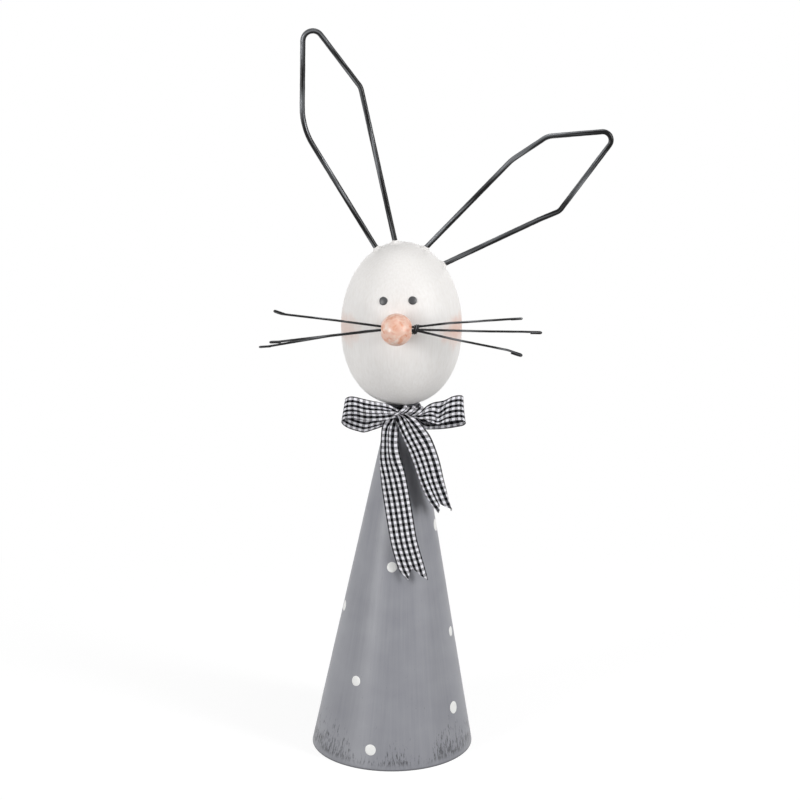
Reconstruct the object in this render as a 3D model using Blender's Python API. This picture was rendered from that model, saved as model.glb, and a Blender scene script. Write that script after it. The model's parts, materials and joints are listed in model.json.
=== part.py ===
# A standing rabbit ornament: a leaning cone of rolled sheet steel, a hollow egg-shaped head
# pressed in two halves, two ears and three whiskers of bent wire, a drilled bead for a nose,
# and a checked ribbon tied in a bow round the neck. Nothing on it moves.
# Metres, +Z up. The origin is the centre of the foot, on the surface it stands on; -Y is the front.

import math

import bmesh
import bpy
from mathutils import Matrix, Vector

MM = 0.001

# Room left between two pieces that touch
SEAT_GAP = 0.3 * MM

# Cone body, its closing disc and the weld under the head
CONE_FOOT_RADIUS = 50.0 * MM
CONE_TOP_RADIUS = 8.13 * MM
CONE_TOP_HEIGHT = 219.4 * MM
CONE_TOP_SHIFT = 6.8 * MM
CONE_WALL = 0.8 * MM
DISC_SHEET = 0.8 * MM
DISC_FLANGE_HEIGHT = 6.0 * MM
NECK_WELD_LEG = 1.7 * MM

# Head: an egg, widest at its seam, that stands on the rim of the cone a little off its middle
HEAD_OFFSET = -0.9 * MM
HEAD_RADIUS = 36.3 * MM
HEAD_CROWN = 51.0 * MM
HEAD_CHIN = 48.0 * MM
HEAD_CROWN_FULLNESS = 2.0
HEAD_CHIN_FULLNESS = 2.2
HEAD_WALL = 0.8 * MM

# Face: bearings are turned from straight ahead, towards +X
FACE_TURN = math.radians(-3.75)
EYE_SPREAD = math.radians(15.3)
EYE_HEIGHT = 22.7 * MM
EYE_RADIUS = 2.25 * MM
EYE_DOME = 0.8 * MM
NOSE_HEIGHT = 7.6 * MM
NOSE_RADIUS = 9.5 * MM
NOSE_HOLE_ROOM = 1.1 * MM

# Ears: each is one wire, given by the corners that it would have with no bend radius
EAR_WIRE_RADIUS = 1.5 * MM
EAR_WELD_HEIGHT = 2.4 * MM
EAR_WELD_FOOT_WIDTH = 1.7 * MM
EAR_WELD_TOP_WIDTH = 0.7 * MM
# In the order of the wire: its feet, as shares of the head radius from the middle of the head,
# and its bends, as (x, z, radius) from the top of the head
EARS = {
    "left": {
        "feet": {"outer": -0.40, "inner": -0.102},
        "bends": (
            (-58.3 * MM, 68.6 * MM, 42 * MM),
            (-56.9 * MM, 136.2 * MM, 5.8 * MM),
            (-23.8 * MM, 92.1 * MM, 9 * MM),
        ),
    },
    "right": {
        "feet": {"inner": 0.383, "outer": 0.678},
        "bends": (
            (64.8 * MM, 49.3 * MM, 30 * MM),
            (85.6 * MM, 63.3 * MM, 10 * MM),
            (128.7 * MM, 66.9 * MM, 5.0 * MM),
            (93.4 * MM, 18.8 * MM, 6 * MM),
            (82.1 * MM, 14.0 * MM, 25 * MM),
        ),
    },
}

# Whiskers: three wires through the bead, each end folded back on itself
WHISKER_WIRE_RADIUS = 0.6 * MM
WHISKER_SPACE = 0.5 * MM
WHISKER_BEND_RADIUS = 12 * MM
WHISKER_FOLD_LENGTH = 6.0 * MM
TIE_WIRE_RADIUS = 0.5 * MM
TIE_TURNS = 2
TIE_TURN_GAP = 0.6 * MM
# Per wire: its bearing in the bundle from the top, the points of its left and right run as (x, z)
# in mm, from the middle of the bead and beyond its sides, and per tip the side to which it is
# folded as (y, z), with the gap in mm between the two strands
WHISKERS = {
    "upper": {
        "bearing": 0,
        "left": ((-0.1, 1.7), (-25.7, 5.7), (-57.1, 9.5), (-60.5, 10.7)),
        "left_fold": (0.0, 1.0, 1.1),
        "right": ((20.8, 4.1), (57.8, 6.7), (61.9, 6.7)),
        "right_fold": (-0.9, 0.4, 0.6),
    },
    "middle": {
        "bearing": -120,
        "left": ((-0.1, -0.8), (-29.3, -3.6), (-58.7, -6.8), (-62.9, -6.9)),
        "left_fold": (-1.0, 0.0, 0.6),
        "right": ((39.6, -0.8), (62.3, -1.0), (73.4, -1.4)),
        "right_fold": (-1.0, -0.2, 0.6),
    },
    "lower": {
        "bearing": 120,
        "left": ((-0.1, -0.4), (-29.3, -3.7), (-65.0, -10.1), (-69.2, -10.4)),
        "left_fold": (1.0, -0.3, 0.6),
        "right": ((24.6, -5.9), (58.1, -12.6), (62.8, -14.0)),
        "right_fold": (0.3, -1.0, 0.6),
    },
}

# Ribbon: the neck band is below the weld, the knot in front of it and under the head
RIBBON_WIDTH = 16.0 * MM
RIBBON_THICKNESS = 0.6 * MM
BAND_DROP = 0.9 * MM
BAND_HEIGHT = 6.6 * MM
BAND_THICKNESS = 1.6 * MM
BAND_FOLDS = 2
BAND_FOLD_DEPTH = 0.35 * MM
KNOT_DROP = 0.8 * MM
KNOT_OFFSET = -0.6 * MM
KNOT_HALF_WIDTH = 9.2 * MM
KNOT_HALF_DEPTH = 4.6 * MM
KNOT_HALF_HEIGHT = 4.8 * MM
KNOT_FOLDS = 4
KNOT_FOLD_DEPTH = 0.4 * MM
# How bluntly the knot ends, and how many radians its folds turn aslant per radian across it
KNOT_BLUNTNESS = 0.6
KNOT_FOLD_SLANT = 2
PLEAT_DEPTH = 0.9 * MM
PLEATS = 1.5
NOTCH_DEPTH = 8.0 * MM
LONG_TAIL_SLANT = 4.0 * MM
SHORT_TAIL_SLANT = 6.0 * MM
# Stations of each free stretch: the middle of the ribbon in mm, the way across it, and the share
# of its flat width that is left where it is gathered. A loop is measured from the end of the
# knot, and a tail from the underside of the knot
LEFT_LOOP = (
    ((-0.9, 0.9, 0.0), (0.0, -0.2, 1.0), 0.50),
    ((-5.8, -1.5, 1.0), (0.0, -0.3, 1.0), 0.66),
    ((-12.8, -2.6, 1.9), (0.0, -0.36, 0.93), 0.84),
    ((-20.3, -1.6, 2.3), (0.12, -0.36, 0.93), 0.96),
    ((-24.2, 2.4, 1.0), (0.2, -0.25, 0.95), 1.0),
    ((-22.3, 6.9, -3.4), (0.1, -0.1, 1.0), 1.0),
    ((-15.8, 8.4, -7.9), (0.0, -0.1, 1.0), 0.92),
    ((-6.8, 6.8, -6.4), (0.0, -0.1, 1.0), 0.70),
    ((-0.9, 3.4, -1.9), (0.0, -0.2, 1.0), 0.42),
)
RIGHT_LOOP = (
    ((0.7, 0.9, -0.2), (0.0, -0.2, 1.0), 0.50),
    ((6.3, -1.4, -1.0), (0.0, -0.25, 1.0), 0.66),
    ((14.8, -2.4, -0.9), (0.0, -0.2, 1.0), 0.90),
    ((22.8, -1.4, 0.9), (-0.05, -0.1, 1.0), 1.0),
    ((27.8, 2.4, 0.9), (-0.08, 0.0, 1.0), 1.0),
    ((24.8, 6.6, -2.9), (0.0, 0.0, 1.0), 1.0),
    ((16.8, 8.0, -7.1), (0.0, -0.1, 1.0), 0.92),
    ((7.3, 6.6, -5.8), (0.0, -0.1, 1.0), 0.70),
    ((0.7, 3.4, -1.7), (0.0, -0.2, 1.0), 0.42),
)
LONG_TAIL = (
    ((-5.0, -0.3, 0.1), (1.0, 0.3, 0.0), 0.60),
    ((-6.4, -1.6, -11.7), (1.0, 0.55, 0.0), 0.68),
    ((-6.6, -2.0, -21.7), (1.0, 0.45, 0.0), 0.80),
    ((-5.2, -2.6, -32.7), (1.0, 0.25, 0.05), 0.94),
    ((-2.5, -5.4, -57.7), (1.0, 0.0, 0.1), 1.0),
    ((1.2, -8.2, -73.2), (1.0, 0.1, 0.15), 1.0),
    ((5.0, -10.6, -86.2), (1.0, 0.45, 0.2), 1.0),
    ((9.6, -13.0, -99.7), (1.0, 0.95, 0.2), 1.0),
)
SHORT_TAIL = (
    ((4.0, -2.8, -1.0), (1.0, 0.15, 0.25), 0.60),
    ((6.9, -4.4, -7.2), (1.0, 0.2, 0.4), 0.95),
    ((13.0, -6.4, -22.2), (1.0, 0.3, 0.42), 0.97),
    ((16.8, -7.8, -35.8), (1.0, 0.35, 0.36), 1.0),
    ((21.2, -9.0, -47.2), (1.0, 0.9, 0.3), 1.0),
    ((27.0, -9.6, -58.7), (1.0, 2.2, 0.3), 1.0),
)

# Facets, and the steps and limits of what is worked out in small steps
SMALLEST_EDGE = 0.0001 * MM
SHARP_ANGLE = math.radians(40)
CONE_SEGMENTS = 64
HEAD_SEGMENTS = 44
HEAD_RINGS = 8
WELD_SEGMENTS = 16
NOSE_SEGMENTS = 32
NOSE_RINGS = 12
EYE_SEGMENTS = 20
EYE_RINGS = 3
EAR_SIDES = 3
WHISKER_SIDES = 1
BEND_STEP = math.radians(16)
LEAST_TURN = math.radians(0.5)
REACH_STEP = 0.5 * MM
HALVINGS = 30
FOLD_STEPS = 6
TIE_TURN_POINTS = 16
ROW_LENGTH = 2.8 * MM
ALONG_STEP = 0.01
COLUMNS = 8
BAND_SEGMENTS = 32
BAND_ROWS = 6
KNOT_SEGMENTS = 28
KNOT_RINGS = 14


def material(name, colour, roughness, metallic):
    made = bpy.data.materials.new(name)
    made.use_nodes = True
    shader = made.node_tree.nodes["Principled BSDF"]
    shader.inputs["Base Color"].default_value = (*colour, 1.0)
    shader.inputs["Roughness"].default_value = roughness
    shader.inputs["Metallic"].default_value = metallic
    return made


def add_object(name, data, finish, place=(0, 0, 0)):
    obj = bpy.data.objects.new(name, data)
    obj.location = place
    bpy.context.scene.collection.objects.link(obj)
    data.materials.append(finish)
    return obj


def add_mesh(name, bm, finish, place=(0, 0, 0)):
    """A smooth-shaded object of the bmesh, with its doubles merged and its faces turned out."""
    bmesh.ops.remove_doubles(bm, verts=bm.verts, dist=SMALLEST_EDGE)
    bmesh.ops.recalc_face_normals(bm, faces=bm.faces)
    mesh = bpy.data.meshes.new(name)
    bm.to_mesh(mesh)
    bm.free()
    mesh.shade_smooth()
    mesh.set_sharp_from_angle(angle=SHARP_ANGLE)
    return add_object(name, mesh, finish, place)


def turned(profile, segments, axis=(0, 0, 1)):
    """A closed outline of points in the X-Z plane, spun once round the axis."""
    bm = bmesh.new()
    ring = [bm.verts.new(point) for point in profile]
    edges = [bm.edges.new(pair) for pair in zip(ring, ring[1:] + ring[:1])]
    bmesh.ops.spin(
        bm, geom=ring + edges, cent=(0, 0, 0), axis=axis, angle=2 * math.pi, steps=segments
    )
    return bm


def joined_rings(rings, closed):
    """Quads between rings of equally many points, and back to the first ring where closed."""
    bm = bmesh.new()
    rows = [[bm.verts.new(point) for point in ring] for ring in rings]
    pairs = list(zip(rows, rows[1:] + rows[:1])) if closed else list(zip(rows, rows[1:]))
    for low, high in pairs:
        for i in range(len(low)):
            j = (i + 1) % len(low)
            bm.faces.new((low[i], low[j], high[j], high[i]))
    if not closed:
        bm.faces.new(rows[0][::-1])
        bm.faces.new(rows[-1])
    return bm


def smooth_through(values, share):
    """The value at a share of the way along a Catmull-Rom curve through evenly counted stations."""
    count = len(values) - 1
    span = min(int(share * count), count - 1)
    t = share * count - span
    before = values[max(span - 1, 0)]
    start, end = values[span], values[span + 1]
    after = values[min(span + 2, count)]
    return 0.5 * (
        2 * start
        + (end - before) * t
        + (2 * before - 5 * start + 4 * end - after) * t * t
        + (3 * start - before - 3 * end + after) * t * t * t
    )


def wire(name, points, radius, finish, sides):
    """A round wire along the points, as a curve with a bevel of this resolution, its ends filled."""
    curve = bpy.data.curves.new(name, "CURVE")
    curve.dimensions = "3D"
    curve.bevel_depth = radius
    curve.bevel_resolution = sides
    curve.use_fill_caps = True
    spline = curve.splines.new("POLY")
    spline.points.add(len(points) - 1)
    for slot, point in zip(spline.points, points):
        slot.co = (*point, 1.0)
    return add_object(name, curve, finish)


# Cone body

def cone_radius(height):
    share = height / CONE_TOP_HEIGHT
    return CONE_FOOT_RADIUS + (CONE_TOP_RADIUS - CONE_FOOT_RADIUS) * share


def cone_middle(height):
    """The point of the leaning centre line of the cone at a height."""
    return Vector((CONE_TOP_SHIFT * height / CONE_TOP_HEIGHT, 0, height))


def beside_cone(out, height, room):
    """The point at a height that is this far outside the skin of the cone in a level direction."""
    return cone_middle(height) + (cone_radius(height) + room) * out


def lean_with_cone(obj):
    """Moves each ring of an upright turned piece over the leaning centre line of the cone."""
    for vertex in obj.data.vertices:
        vertex.co.x += cone_middle(vertex.co.z).x


# The wall measured level, through the slope of the sheet
CONE_SLOPE = math.atan2(CONE_FOOT_RADIUS - CONE_TOP_RADIUS, CONE_TOP_HEIGHT)
CONE_LEVEL_WALL = CONE_WALL / math.cos(CONE_SLOPE)


def make_cone_body(finish):
    outline = (
        (CONE_FOOT_RADIUS, 0, 0),
        (CONE_TOP_RADIUS, 0, CONE_TOP_HEIGHT),
        (CONE_TOP_RADIUS - CONE_LEVEL_WALL, 0, CONE_TOP_HEIGHT),
        (CONE_FOOT_RADIUS - CONE_LEVEL_WALL, 0, 0),
    )
    lean_with_cone(add_mesh("cone_body", turned(outline, CONE_SEGMENTS), finish))


def make_base_disc(finish):
    """A pressed disc with a turned-up flange that is spot welded inside the foot of the cone."""

    def fitted(height):
        return cone_radius(height) - CONE_LEVEL_WALL - SEAT_GAP

    outline = (
        (0, 0, 0),
        (fitted(0), 0, 0),
        (fitted(DISC_FLANGE_HEIGHT), 0, DISC_FLANGE_HEIGHT),
        (fitted(DISC_FLANGE_HEIGHT) - DISC_SHEET, 0, DISC_FLANGE_HEIGHT),
        (fitted(DISC_SHEET) - DISC_SHEET, 0, DISC_SHEET),
        (0, 0, DISC_SHEET),
    )
    lean_with_cone(add_mesh("base_disc", turned(outline, CONE_SEGMENTS), finish))


# Head

def head_profile(crown, distance):
    """How far the skin is above or below the seam, at a distance from the upright axis."""
    reach = HEAD_CROWN if crown else HEAD_CHIN
    fullness = HEAD_CROWN_FULLNESS if crown else HEAD_CHIN_FULLNESS
    share = min(distance / HEAD_RADIUS, 1.0)
    return reach * (1 - share**fullness) ** (1 / fullness)


# The head rests on the inner edge of the rim, where that is nearest to the axis of the head
HEAD_SHIFT = CONE_TOP_SHIFT + HEAD_OFFSET
RIM_REACH = CONE_TOP_RADIUS - CONE_LEVEL_WALL - abs(HEAD_OFFSET)
HEAD_SEAM_HEIGHT = CONE_TOP_HEIGHT + SEAT_GAP + head_profile(False, RIM_REACH)


def head_outline(crown, wall):
    """Points of one half from its pole to the seam, from the middle of the seam."""
    reach = (HEAD_CROWN if crown else HEAD_CHIN) - wall
    power = 2 / (HEAD_CROWN_FULLNESS if crown else HEAD_CHIN_FULLNESS)
    side = 1 if crown else -1
    points = []
    for i in range(HEAD_RINGS):
        angle = math.pi / 2 * i / HEAD_RINGS
        across = (HEAD_RADIUS - wall) * math.sin(angle) ** power
        points.append((across, 0, side * reach * math.cos(angle) ** power))
    points.append((HEAD_RADIUS - wall, 0, 0))
    return points


def inside_head(point):
    x, y, z = point.x - HEAD_SHIFT, point.y, point.z - HEAD_SEAM_HEIGHT
    distance = math.hypot(x, y)
    return distance < HEAD_RADIUS and abs(z) < head_profile(z > 0, distance)


def reach_to_head(point, direction):
    """How far a point outside the head can travel in a direction before it meets the skin."""
    far = 0.0
    while not inside_head(point + far * direction):
        far += REACH_STEP
    near = far - REACH_STEP
    for _ in range(HALVINGS):
        middle = (near + far) / 2
        if inside_head(point + middle * direction):
            far = middle
        else:
            near = middle
    return near


def on_head(bearing, height):
    """A point of the skin above the seam, and the way out from it."""
    fullness = HEAD_CROWN_FULLNESS
    rise = height / HEAD_CROWN
    spread = (1 - rise**fullness) ** (1 / fullness)
    ahead = Vector((math.sin(bearing), -math.cos(bearing), 0))
    up = Vector((0, 0, 1))
    point = Vector((HEAD_SHIFT, 0, HEAD_SEAM_HEIGHT + height)) + spread * HEAD_RADIUS * ahead
    steepness = fullness - 1
    out = spread**steepness / HEAD_RADIUS * ahead + rise**steepness / HEAD_CROWN * up
    return point, out.normalized()


def pressed_below_head(point, room):
    """The point, lowered where it would come nearer than the room to the underside of the head."""
    distance = math.hypot(point.x - HEAD_SHIFT, point.y)
    ceiling = HEAD_SEAM_HEIGHT - head_profile(False, distance) - room
    return Vector((point.x, point.y, min(point.z, ceiling)))


def pushed_off_cone(point, room):
    """The point, moved out where it would come nearer than the room to the skin of the cone."""
    away = point - cone_middle(point.z)
    if away.length > cone_radius(point.z) + room:
        return point
    return beside_cone(away.normalized(), point.z, room)


def make_head_shell(name, crown, finish):
    outer = head_outline(crown, 0.0)
    inner = head_outline(crown, HEAD_WALL)
    place = (HEAD_SHIFT, 0, HEAD_SEAM_HEIGHT)
    add_mesh(name, turned(outer + inner[::-1], HEAD_SEGMENTS), finish, place)


def make_neck_weld(finish):
    """A fillet of weld in the corner between the top of the cone and the underside of the head."""
    up = Vector((0, 0, 1))
    foot = CONE_TOP_HEIGHT - NECK_WELD_LEG
    rings = []
    for i in range(HEAD_SEGMENTS):
        angle = 2 * math.pi * i / HEAD_SEGMENTS
        out = Vector((math.cos(angle), math.sin(angle), 0))
        low = beside_cone(out, foot, SEAT_GAP)
        far = beside_cone(out, foot, SEAT_GAP + NECK_WELD_LEG)
        high = low + (reach_to_head(low, up) - SEAT_GAP) * up
        rings.append((low, far + (reach_to_head(far, up) - SEAT_GAP) * up, high))
    add_mesh("neck_weld", joined_rings(rings, closed=True), finish)


# Ears

def rounded(corners, radii):
    """A polyline through the corners, with an arc of the given radius at each inner one."""
    path = [corners[0]]
    for before, corner, after, radius in zip(corners, corners[1:], corners[2:], radii):
        back = (before - corner).normalized()
        on = (after - corner).normalized()
        turn = math.pi - back.angle(on)
        if turn < LEAST_TURN:
            path.append(corner)
            continue
        tangent = radius * math.tan(turn / 2)
        middle = corner + (back + on).normalized() * (radius / math.cos(turn / 2))
        start = corner + tangent * back
        axis = (start - middle).cross(corner + tangent * on - middle).normalized()
        steps = max(2, math.ceil(turn / BEND_STEP))
        for i in range(steps + 1):
            path.append(middle + Matrix.Rotation(turn * i / steps, 3, axis) @ (start - middle))
    path.append(corners[-1])
    return path


def flat_circle(direction, radius, count):
    """Points of a circle round the origin, square to the direction."""
    side = direction.orthogonal().normalized()
    return [
        Matrix.Rotation(2 * math.pi * i / count, 3, direction) @ (radius * side)
        for i in range(count)
    ]


def foot_on_head(corner, foot):
    """The end of a straight leg from a corner: cut square, just clear of the head."""
    across = foot * HEAD_RADIUS
    height = HEAD_SEAM_HEIGHT + head_profile(True, abs(across))
    down = (Vector((HEAD_SHIFT + across, 0, height)) - corner).normalized()
    rim = flat_circle(down, EAR_WIRE_RADIUS, WELD_SEGMENTS)
    return corner + down * (min(reach_to_head(corner + r, down) for r in rim) - SEAT_GAP)


def make_ear_weld(name, corner, foot, finish):
    """A collar of painted weld round the foot of a wire, its underside shaped to the head."""
    down = (foot - corner).normalized()
    bore = EAR_WIRE_RADIUS + SEAT_GAP
    skirt = bore + EAR_WELD_FOOT_WIDTH

    def ring(radius):
        return [foot + point for point in flat_circle(down, radius, WELD_SEGMENTS)]

    def dropped(points):
        # Lifted first, so that the drop to the head is measured from outside it
        lifted = [p - 2 * skirt * down for p in points]
        return [p + (reach_to_head(p, down) - SEAT_GAP) * down for p in lifted]

    top = -EAR_WELD_HEIGHT * down
    rows = (
        dropped(ring(bore)),
        dropped(ring(skirt)),
        [p + top for p in ring(bore + EAR_WELD_TOP_WIDTH)],
        [p + top for p in ring(bore)],
    )
    rings = [tuple(row[i] for row in rows) for i in range(WELD_SEGMENTS)]
    add_mesh(name, joined_rings(rings, closed=True), finish)


def make_ear(side, plan, wire_finish, weld_finish):
    top = Vector((HEAD_SHIFT, 0, HEAD_SEAM_HEIGHT + HEAD_CROWN))
    corners = [top + Vector((x, 0, z)) for x, z, _ in plan["bends"]]
    legs = list(zip(plan["feet"].items(), (corners[0], corners[-1])))
    ends = [foot_on_head(corner, foot) for (_, foot), corner in legs]
    path = rounded([ends[0], *corners, ends[1]], [radius for _, _, radius in plan["bends"]])
    wire(f"ear_wire_{side}", path, EAR_WIRE_RADIUS, wire_finish, EAR_SIDES)
    for ((place, _), corner), end in zip(legs, ends):
        make_ear_weld(f"ear_weld_{side}_{place}", corner, end, weld_finish)


# Face

# The three wires lie in a triangle, this far from the middle of the hole
BUNDLE_RADIUS = (2 * WHISKER_WIRE_RADIUS + WHISKER_SPACE) / math.sqrt(3)
NOSE_HOLE_RADIUS = BUNDLE_RADIUS + WHISKER_WIRE_RADIUS + NOSE_HOLE_ROOM
TIE_TURN_STEP = 2 * TIE_WIRE_RADIUS + TIE_TURN_GAP
# From the centre of the bead to the outer end of the tie
TIE_END = NOSE_RADIUS + SEAT_GAP + TIE_WIRE_RADIUS + TIE_TURNS * TIE_TURN_STEP


def nose_centre():
    point, out = on_head(FACE_TURN, NOSE_HEIGHT)
    return point + (NOSE_RADIUS + SEAT_GAP) * out


def make_nose_bead(finish):
    """A ball with a level hole through it from side to side, for the whiskers."""
    half = math.acos(NOSE_HOLE_RADIUS / NOSE_RADIUS)
    ball = []
    for i in range(NOSE_RINGS + 1):
        angle = -half + 2 * half * i / NOSE_RINGS
        ball.append((NOSE_RADIUS * math.sin(angle), 0, NOSE_RADIUS * math.cos(angle)))
    bead = turned(ball, NOSE_SEGMENTS, axis=(1, 0, 0))
    add_mesh("nose_bead", bead, finish, nose_centre())


def make_eye(name, bearing, finish):
    """A drop of enamel: a flat-backed dome on the skin of the head."""
    point, out = on_head(bearing, EYE_HEIGHT)
    outline = [(0, 0, 0)]
    for i in range(EYE_RINGS + 1):
        angle = math.pi / 2 * i / EYE_RINGS
        outline.append((EYE_RADIUS * math.cos(angle), 0, EYE_DOME * math.sin(angle)))
    outline[-1] = (0, 0, EYE_DOME)
    eye = add_mesh(name, turned(outline, EYE_SEGMENTS), finish, point + SEAT_GAP * out)
    eye.rotation_euler = out.to_track_quat("Z", "Y").to_euler()


def folded_tip(tip, along, side, radius):
    """The half circle and the short return of a wire folded back on itself."""
    middle = tip + radius * side
    points = []
    for i in range(1, FOLD_STEPS + 1):
        angle = math.pi * i / FOLD_STEPS
        swing = math.sin(angle) * along - math.cos(angle) * side
        points.append(middle + radius * swing)
    points.append(points[-1] - WHISKER_FOLD_LENGTH * along)
    return points


def make_whisker(name, plan, finish):
    """One wire: folded tip, left run, through the bead and the tie, right run, folded tip."""
    centre = nose_centre()
    bearing = math.radians(plan["bearing"])
    bundle = BUNDLE_RADIUS * Vector((0, math.sin(bearing), math.cos(bearing)))

    def placed(points, side):
        start = centre + Vector((side * NOSE_RADIUS, bundle.y, 0))
        return [start + Vector((x, 0, z)) * MM for x, z in points]

    level = [centre + bundle + Vector((x, 0, 0)) for x in (0, TIE_END + TIE_TURN_STEP)]
    corners = placed(plan["left"], -1)[::-1] + level + placed(plan["right"], 1)
    path = rounded(corners, [WHISKER_BEND_RADIUS] * (len(corners) - 2))

    def tip(end, before, fold):
        along = (end - before).normalized()
        side = Vector((0, fold[0], fold[1]))
        side = (side - side.dot(along) * along).normalized()
        return folded_tip(end, along, side, WHISKER_WIRE_RADIUS + fold[2] * MM / 2)

    start = tip(path[0], path[1], plan["left_fold"])
    end = tip(path[-1], path[-2], plan["right_fold"])
    points = start[::-1] + path + end
    wire(f"whisker_wire_{name}", points, WHISKER_WIRE_RADIUS, finish, WHISKER_SIDES)


def make_whisker_tie(finish):
    """A short coil round the three wires, close against the bead."""
    middle = nose_centre()
    radius = BUNDLE_RADIUS + WHISKER_WIRE_RADIUS + SEAT_GAP + TIE_WIRE_RADIUS
    points = []
    for i in range(TIE_TURNS * TIE_TURN_POINTS + 1):
        turns = i / TIE_TURN_POINTS
        angle = 2 * math.pi * turns
        x = TIE_END - turns * TIE_TURN_STEP
        points.append(middle + Vector((x, radius * math.cos(angle), radius * math.sin(angle))))
    wire("whisker_tie", points, TIE_WIRE_RADIUS, finish, WHISKER_SIDES)
    least = min((a - b).length for a, b in zip(points, points[TIE_TURN_POINTS:]))
    print(f"whisker_tie: turns {(least - 2 * TIE_WIRE_RADIUS) / MM:.2f} mm apart")


# Ribbon

def knot_centre():
    """In front of the neck band, on its middle but for the offset, just below the rim."""
    height = CONE_TOP_HEIGHT - KNOT_DROP
    neck = cone_radius(height) + SEAT_GAP + BAND_THICKNESS
    depth = neck + SEAT_GAP + KNOT_FOLD_DEPTH + KNOT_HALF_DEPTH
    return cone_middle(height) + Vector((KNOT_OFFSET, -depth, 0))


def make_knot(finish):
    """A gathered wrap of ribbon, pressed flat by the head, its folds running round it aslant."""
    centre = knot_centre()
    rings = []
    for i in range(1, KNOT_RINGS):
        across = math.pi * i / KNOT_RINGS
        girth = math.sin(across) ** KNOT_BLUNTNESS
        ring = []
        for j in range(KNOT_SEGMENTS):
            angle = 2 * math.pi * j / KNOT_SEGMENTS
            slanted = KNOT_FOLDS * angle + KNOT_FOLD_SLANT * across
            fold = KNOT_FOLD_DEPTH * math.cos(slanted)
            y = (KNOT_HALF_DEPTH + fold) * girth * math.cos(angle)
            z = (KNOT_HALF_HEIGHT + fold) * girth * math.sin(angle)
            point = centre + Vector((KNOT_HALF_WIDTH * math.cos(across), y, z))
            ring.append(pressed_below_head(point, SEAT_GAP))
        rings.append(ring)
    add_mesh("bow_knot", joined_rings(rings, closed=False), finish)


def make_neck_band(finish):
    """The turn of ribbon round the top of the cone, drawn narrower in lengthwise folds."""
    top = CONE_TOP_HEIGHT - NECK_WELD_LEG - BAND_DROP
    rings = []
    for i in range(BAND_SEGMENTS):
        angle = 2 * math.pi * i / BAND_SEGMENTS
        out = Vector((math.cos(angle), math.sin(angle), 0))
        inner, outer = [], []
        for k in range(BAND_ROWS + 1):
            share = k / BAND_ROWS
            height = top - (1 - share) * BAND_HEIGHT
            fold = BAND_FOLD_DEPTH * math.cos(2 * math.pi * BAND_FOLDS * share)
            depth = BAND_THICKNESS - BAND_FOLD_DEPTH + fold
            inner.append(beside_cone(out, height, SEAT_GAP))
            outer.append(beside_cone(out, height, SEAT_GAP + depth))
        rings.append(outer + inner[::-1])
    add_mesh("ribbon_neck_band", joined_rings(rings, closed=True), finish)


def make_ribbon_stretch(name, anchor, stations, finish, notch, slant):
    """A strip through its stations, pleated where it is gathered. The anchor is where they are
    measured from, across and up from the centre of the knot. The notch is the depth of the
    fishtail, and the slant is how much shorter the first edge is cut than the last."""
    start = knot_centre() + Vector((anchor[0], 0, anchor[1]))
    middles = [start + Vector(point) * MM for point, _, _ in stations]
    ways = [Vector(way).normalized() for _, way, _ in stations]
    shares = [share for _, _, share in stations]
    length = sum((b - a).length for a, b in zip(middles, middles[1:]))
    rows = round(length / ROW_LENGTH)
    room = SEAT_GAP + RIBBON_THICKNESS / 2
    bm = bmesh.new()
    grid = []
    for i in range(rows + 1):
        row = []
        for j in range(COLUMNS + 1):
            across = 2 * j / COLUMNS - 1
            cut = notch * (1 - abs(across)) + slant * (1 - across) / 2
            at = i / rows * (1 - cut / length)
            ahead = smooth_through(middles, min(at + ALONG_STEP, 1.0))
            behind = smooth_through(middles, max(at - ALONG_STEP, 0.0))
            along = (ahead - behind).normalized()
            way = smooth_through(ways, at)
            way = (way - way.dot(along) * along).normalized()
            share = min(smooth_through(shares, at), 1.0)
            gathered = math.sqrt(1 - share * share)
            pleat = PLEAT_DEPTH * gathered * math.cos(math.pi * PLEATS * across)
            point = smooth_through(middles, at) + pleat * along.cross(way)
            point = point + across * share * RIBBON_WIDTH / 2 * way
            point = pushed_off_cone(pressed_below_head(point, room), room)
            row.append(bm.verts.new(point))
        grid.append(row)
    for low, high in zip(grid, grid[1:]):
        for j in range(COLUMNS):
            bm.faces.new((low[j], low[j + 1], high[j + 1], high[j]))
    strip = add_mesh(name, bm, finish)
    cloth = strip.modifiers.new("cloth", "SOLIDIFY")
    cloth.thickness = RIBBON_THICKNESS
    cloth.offset = 0.0
    cloth.use_even_offset = True


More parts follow.
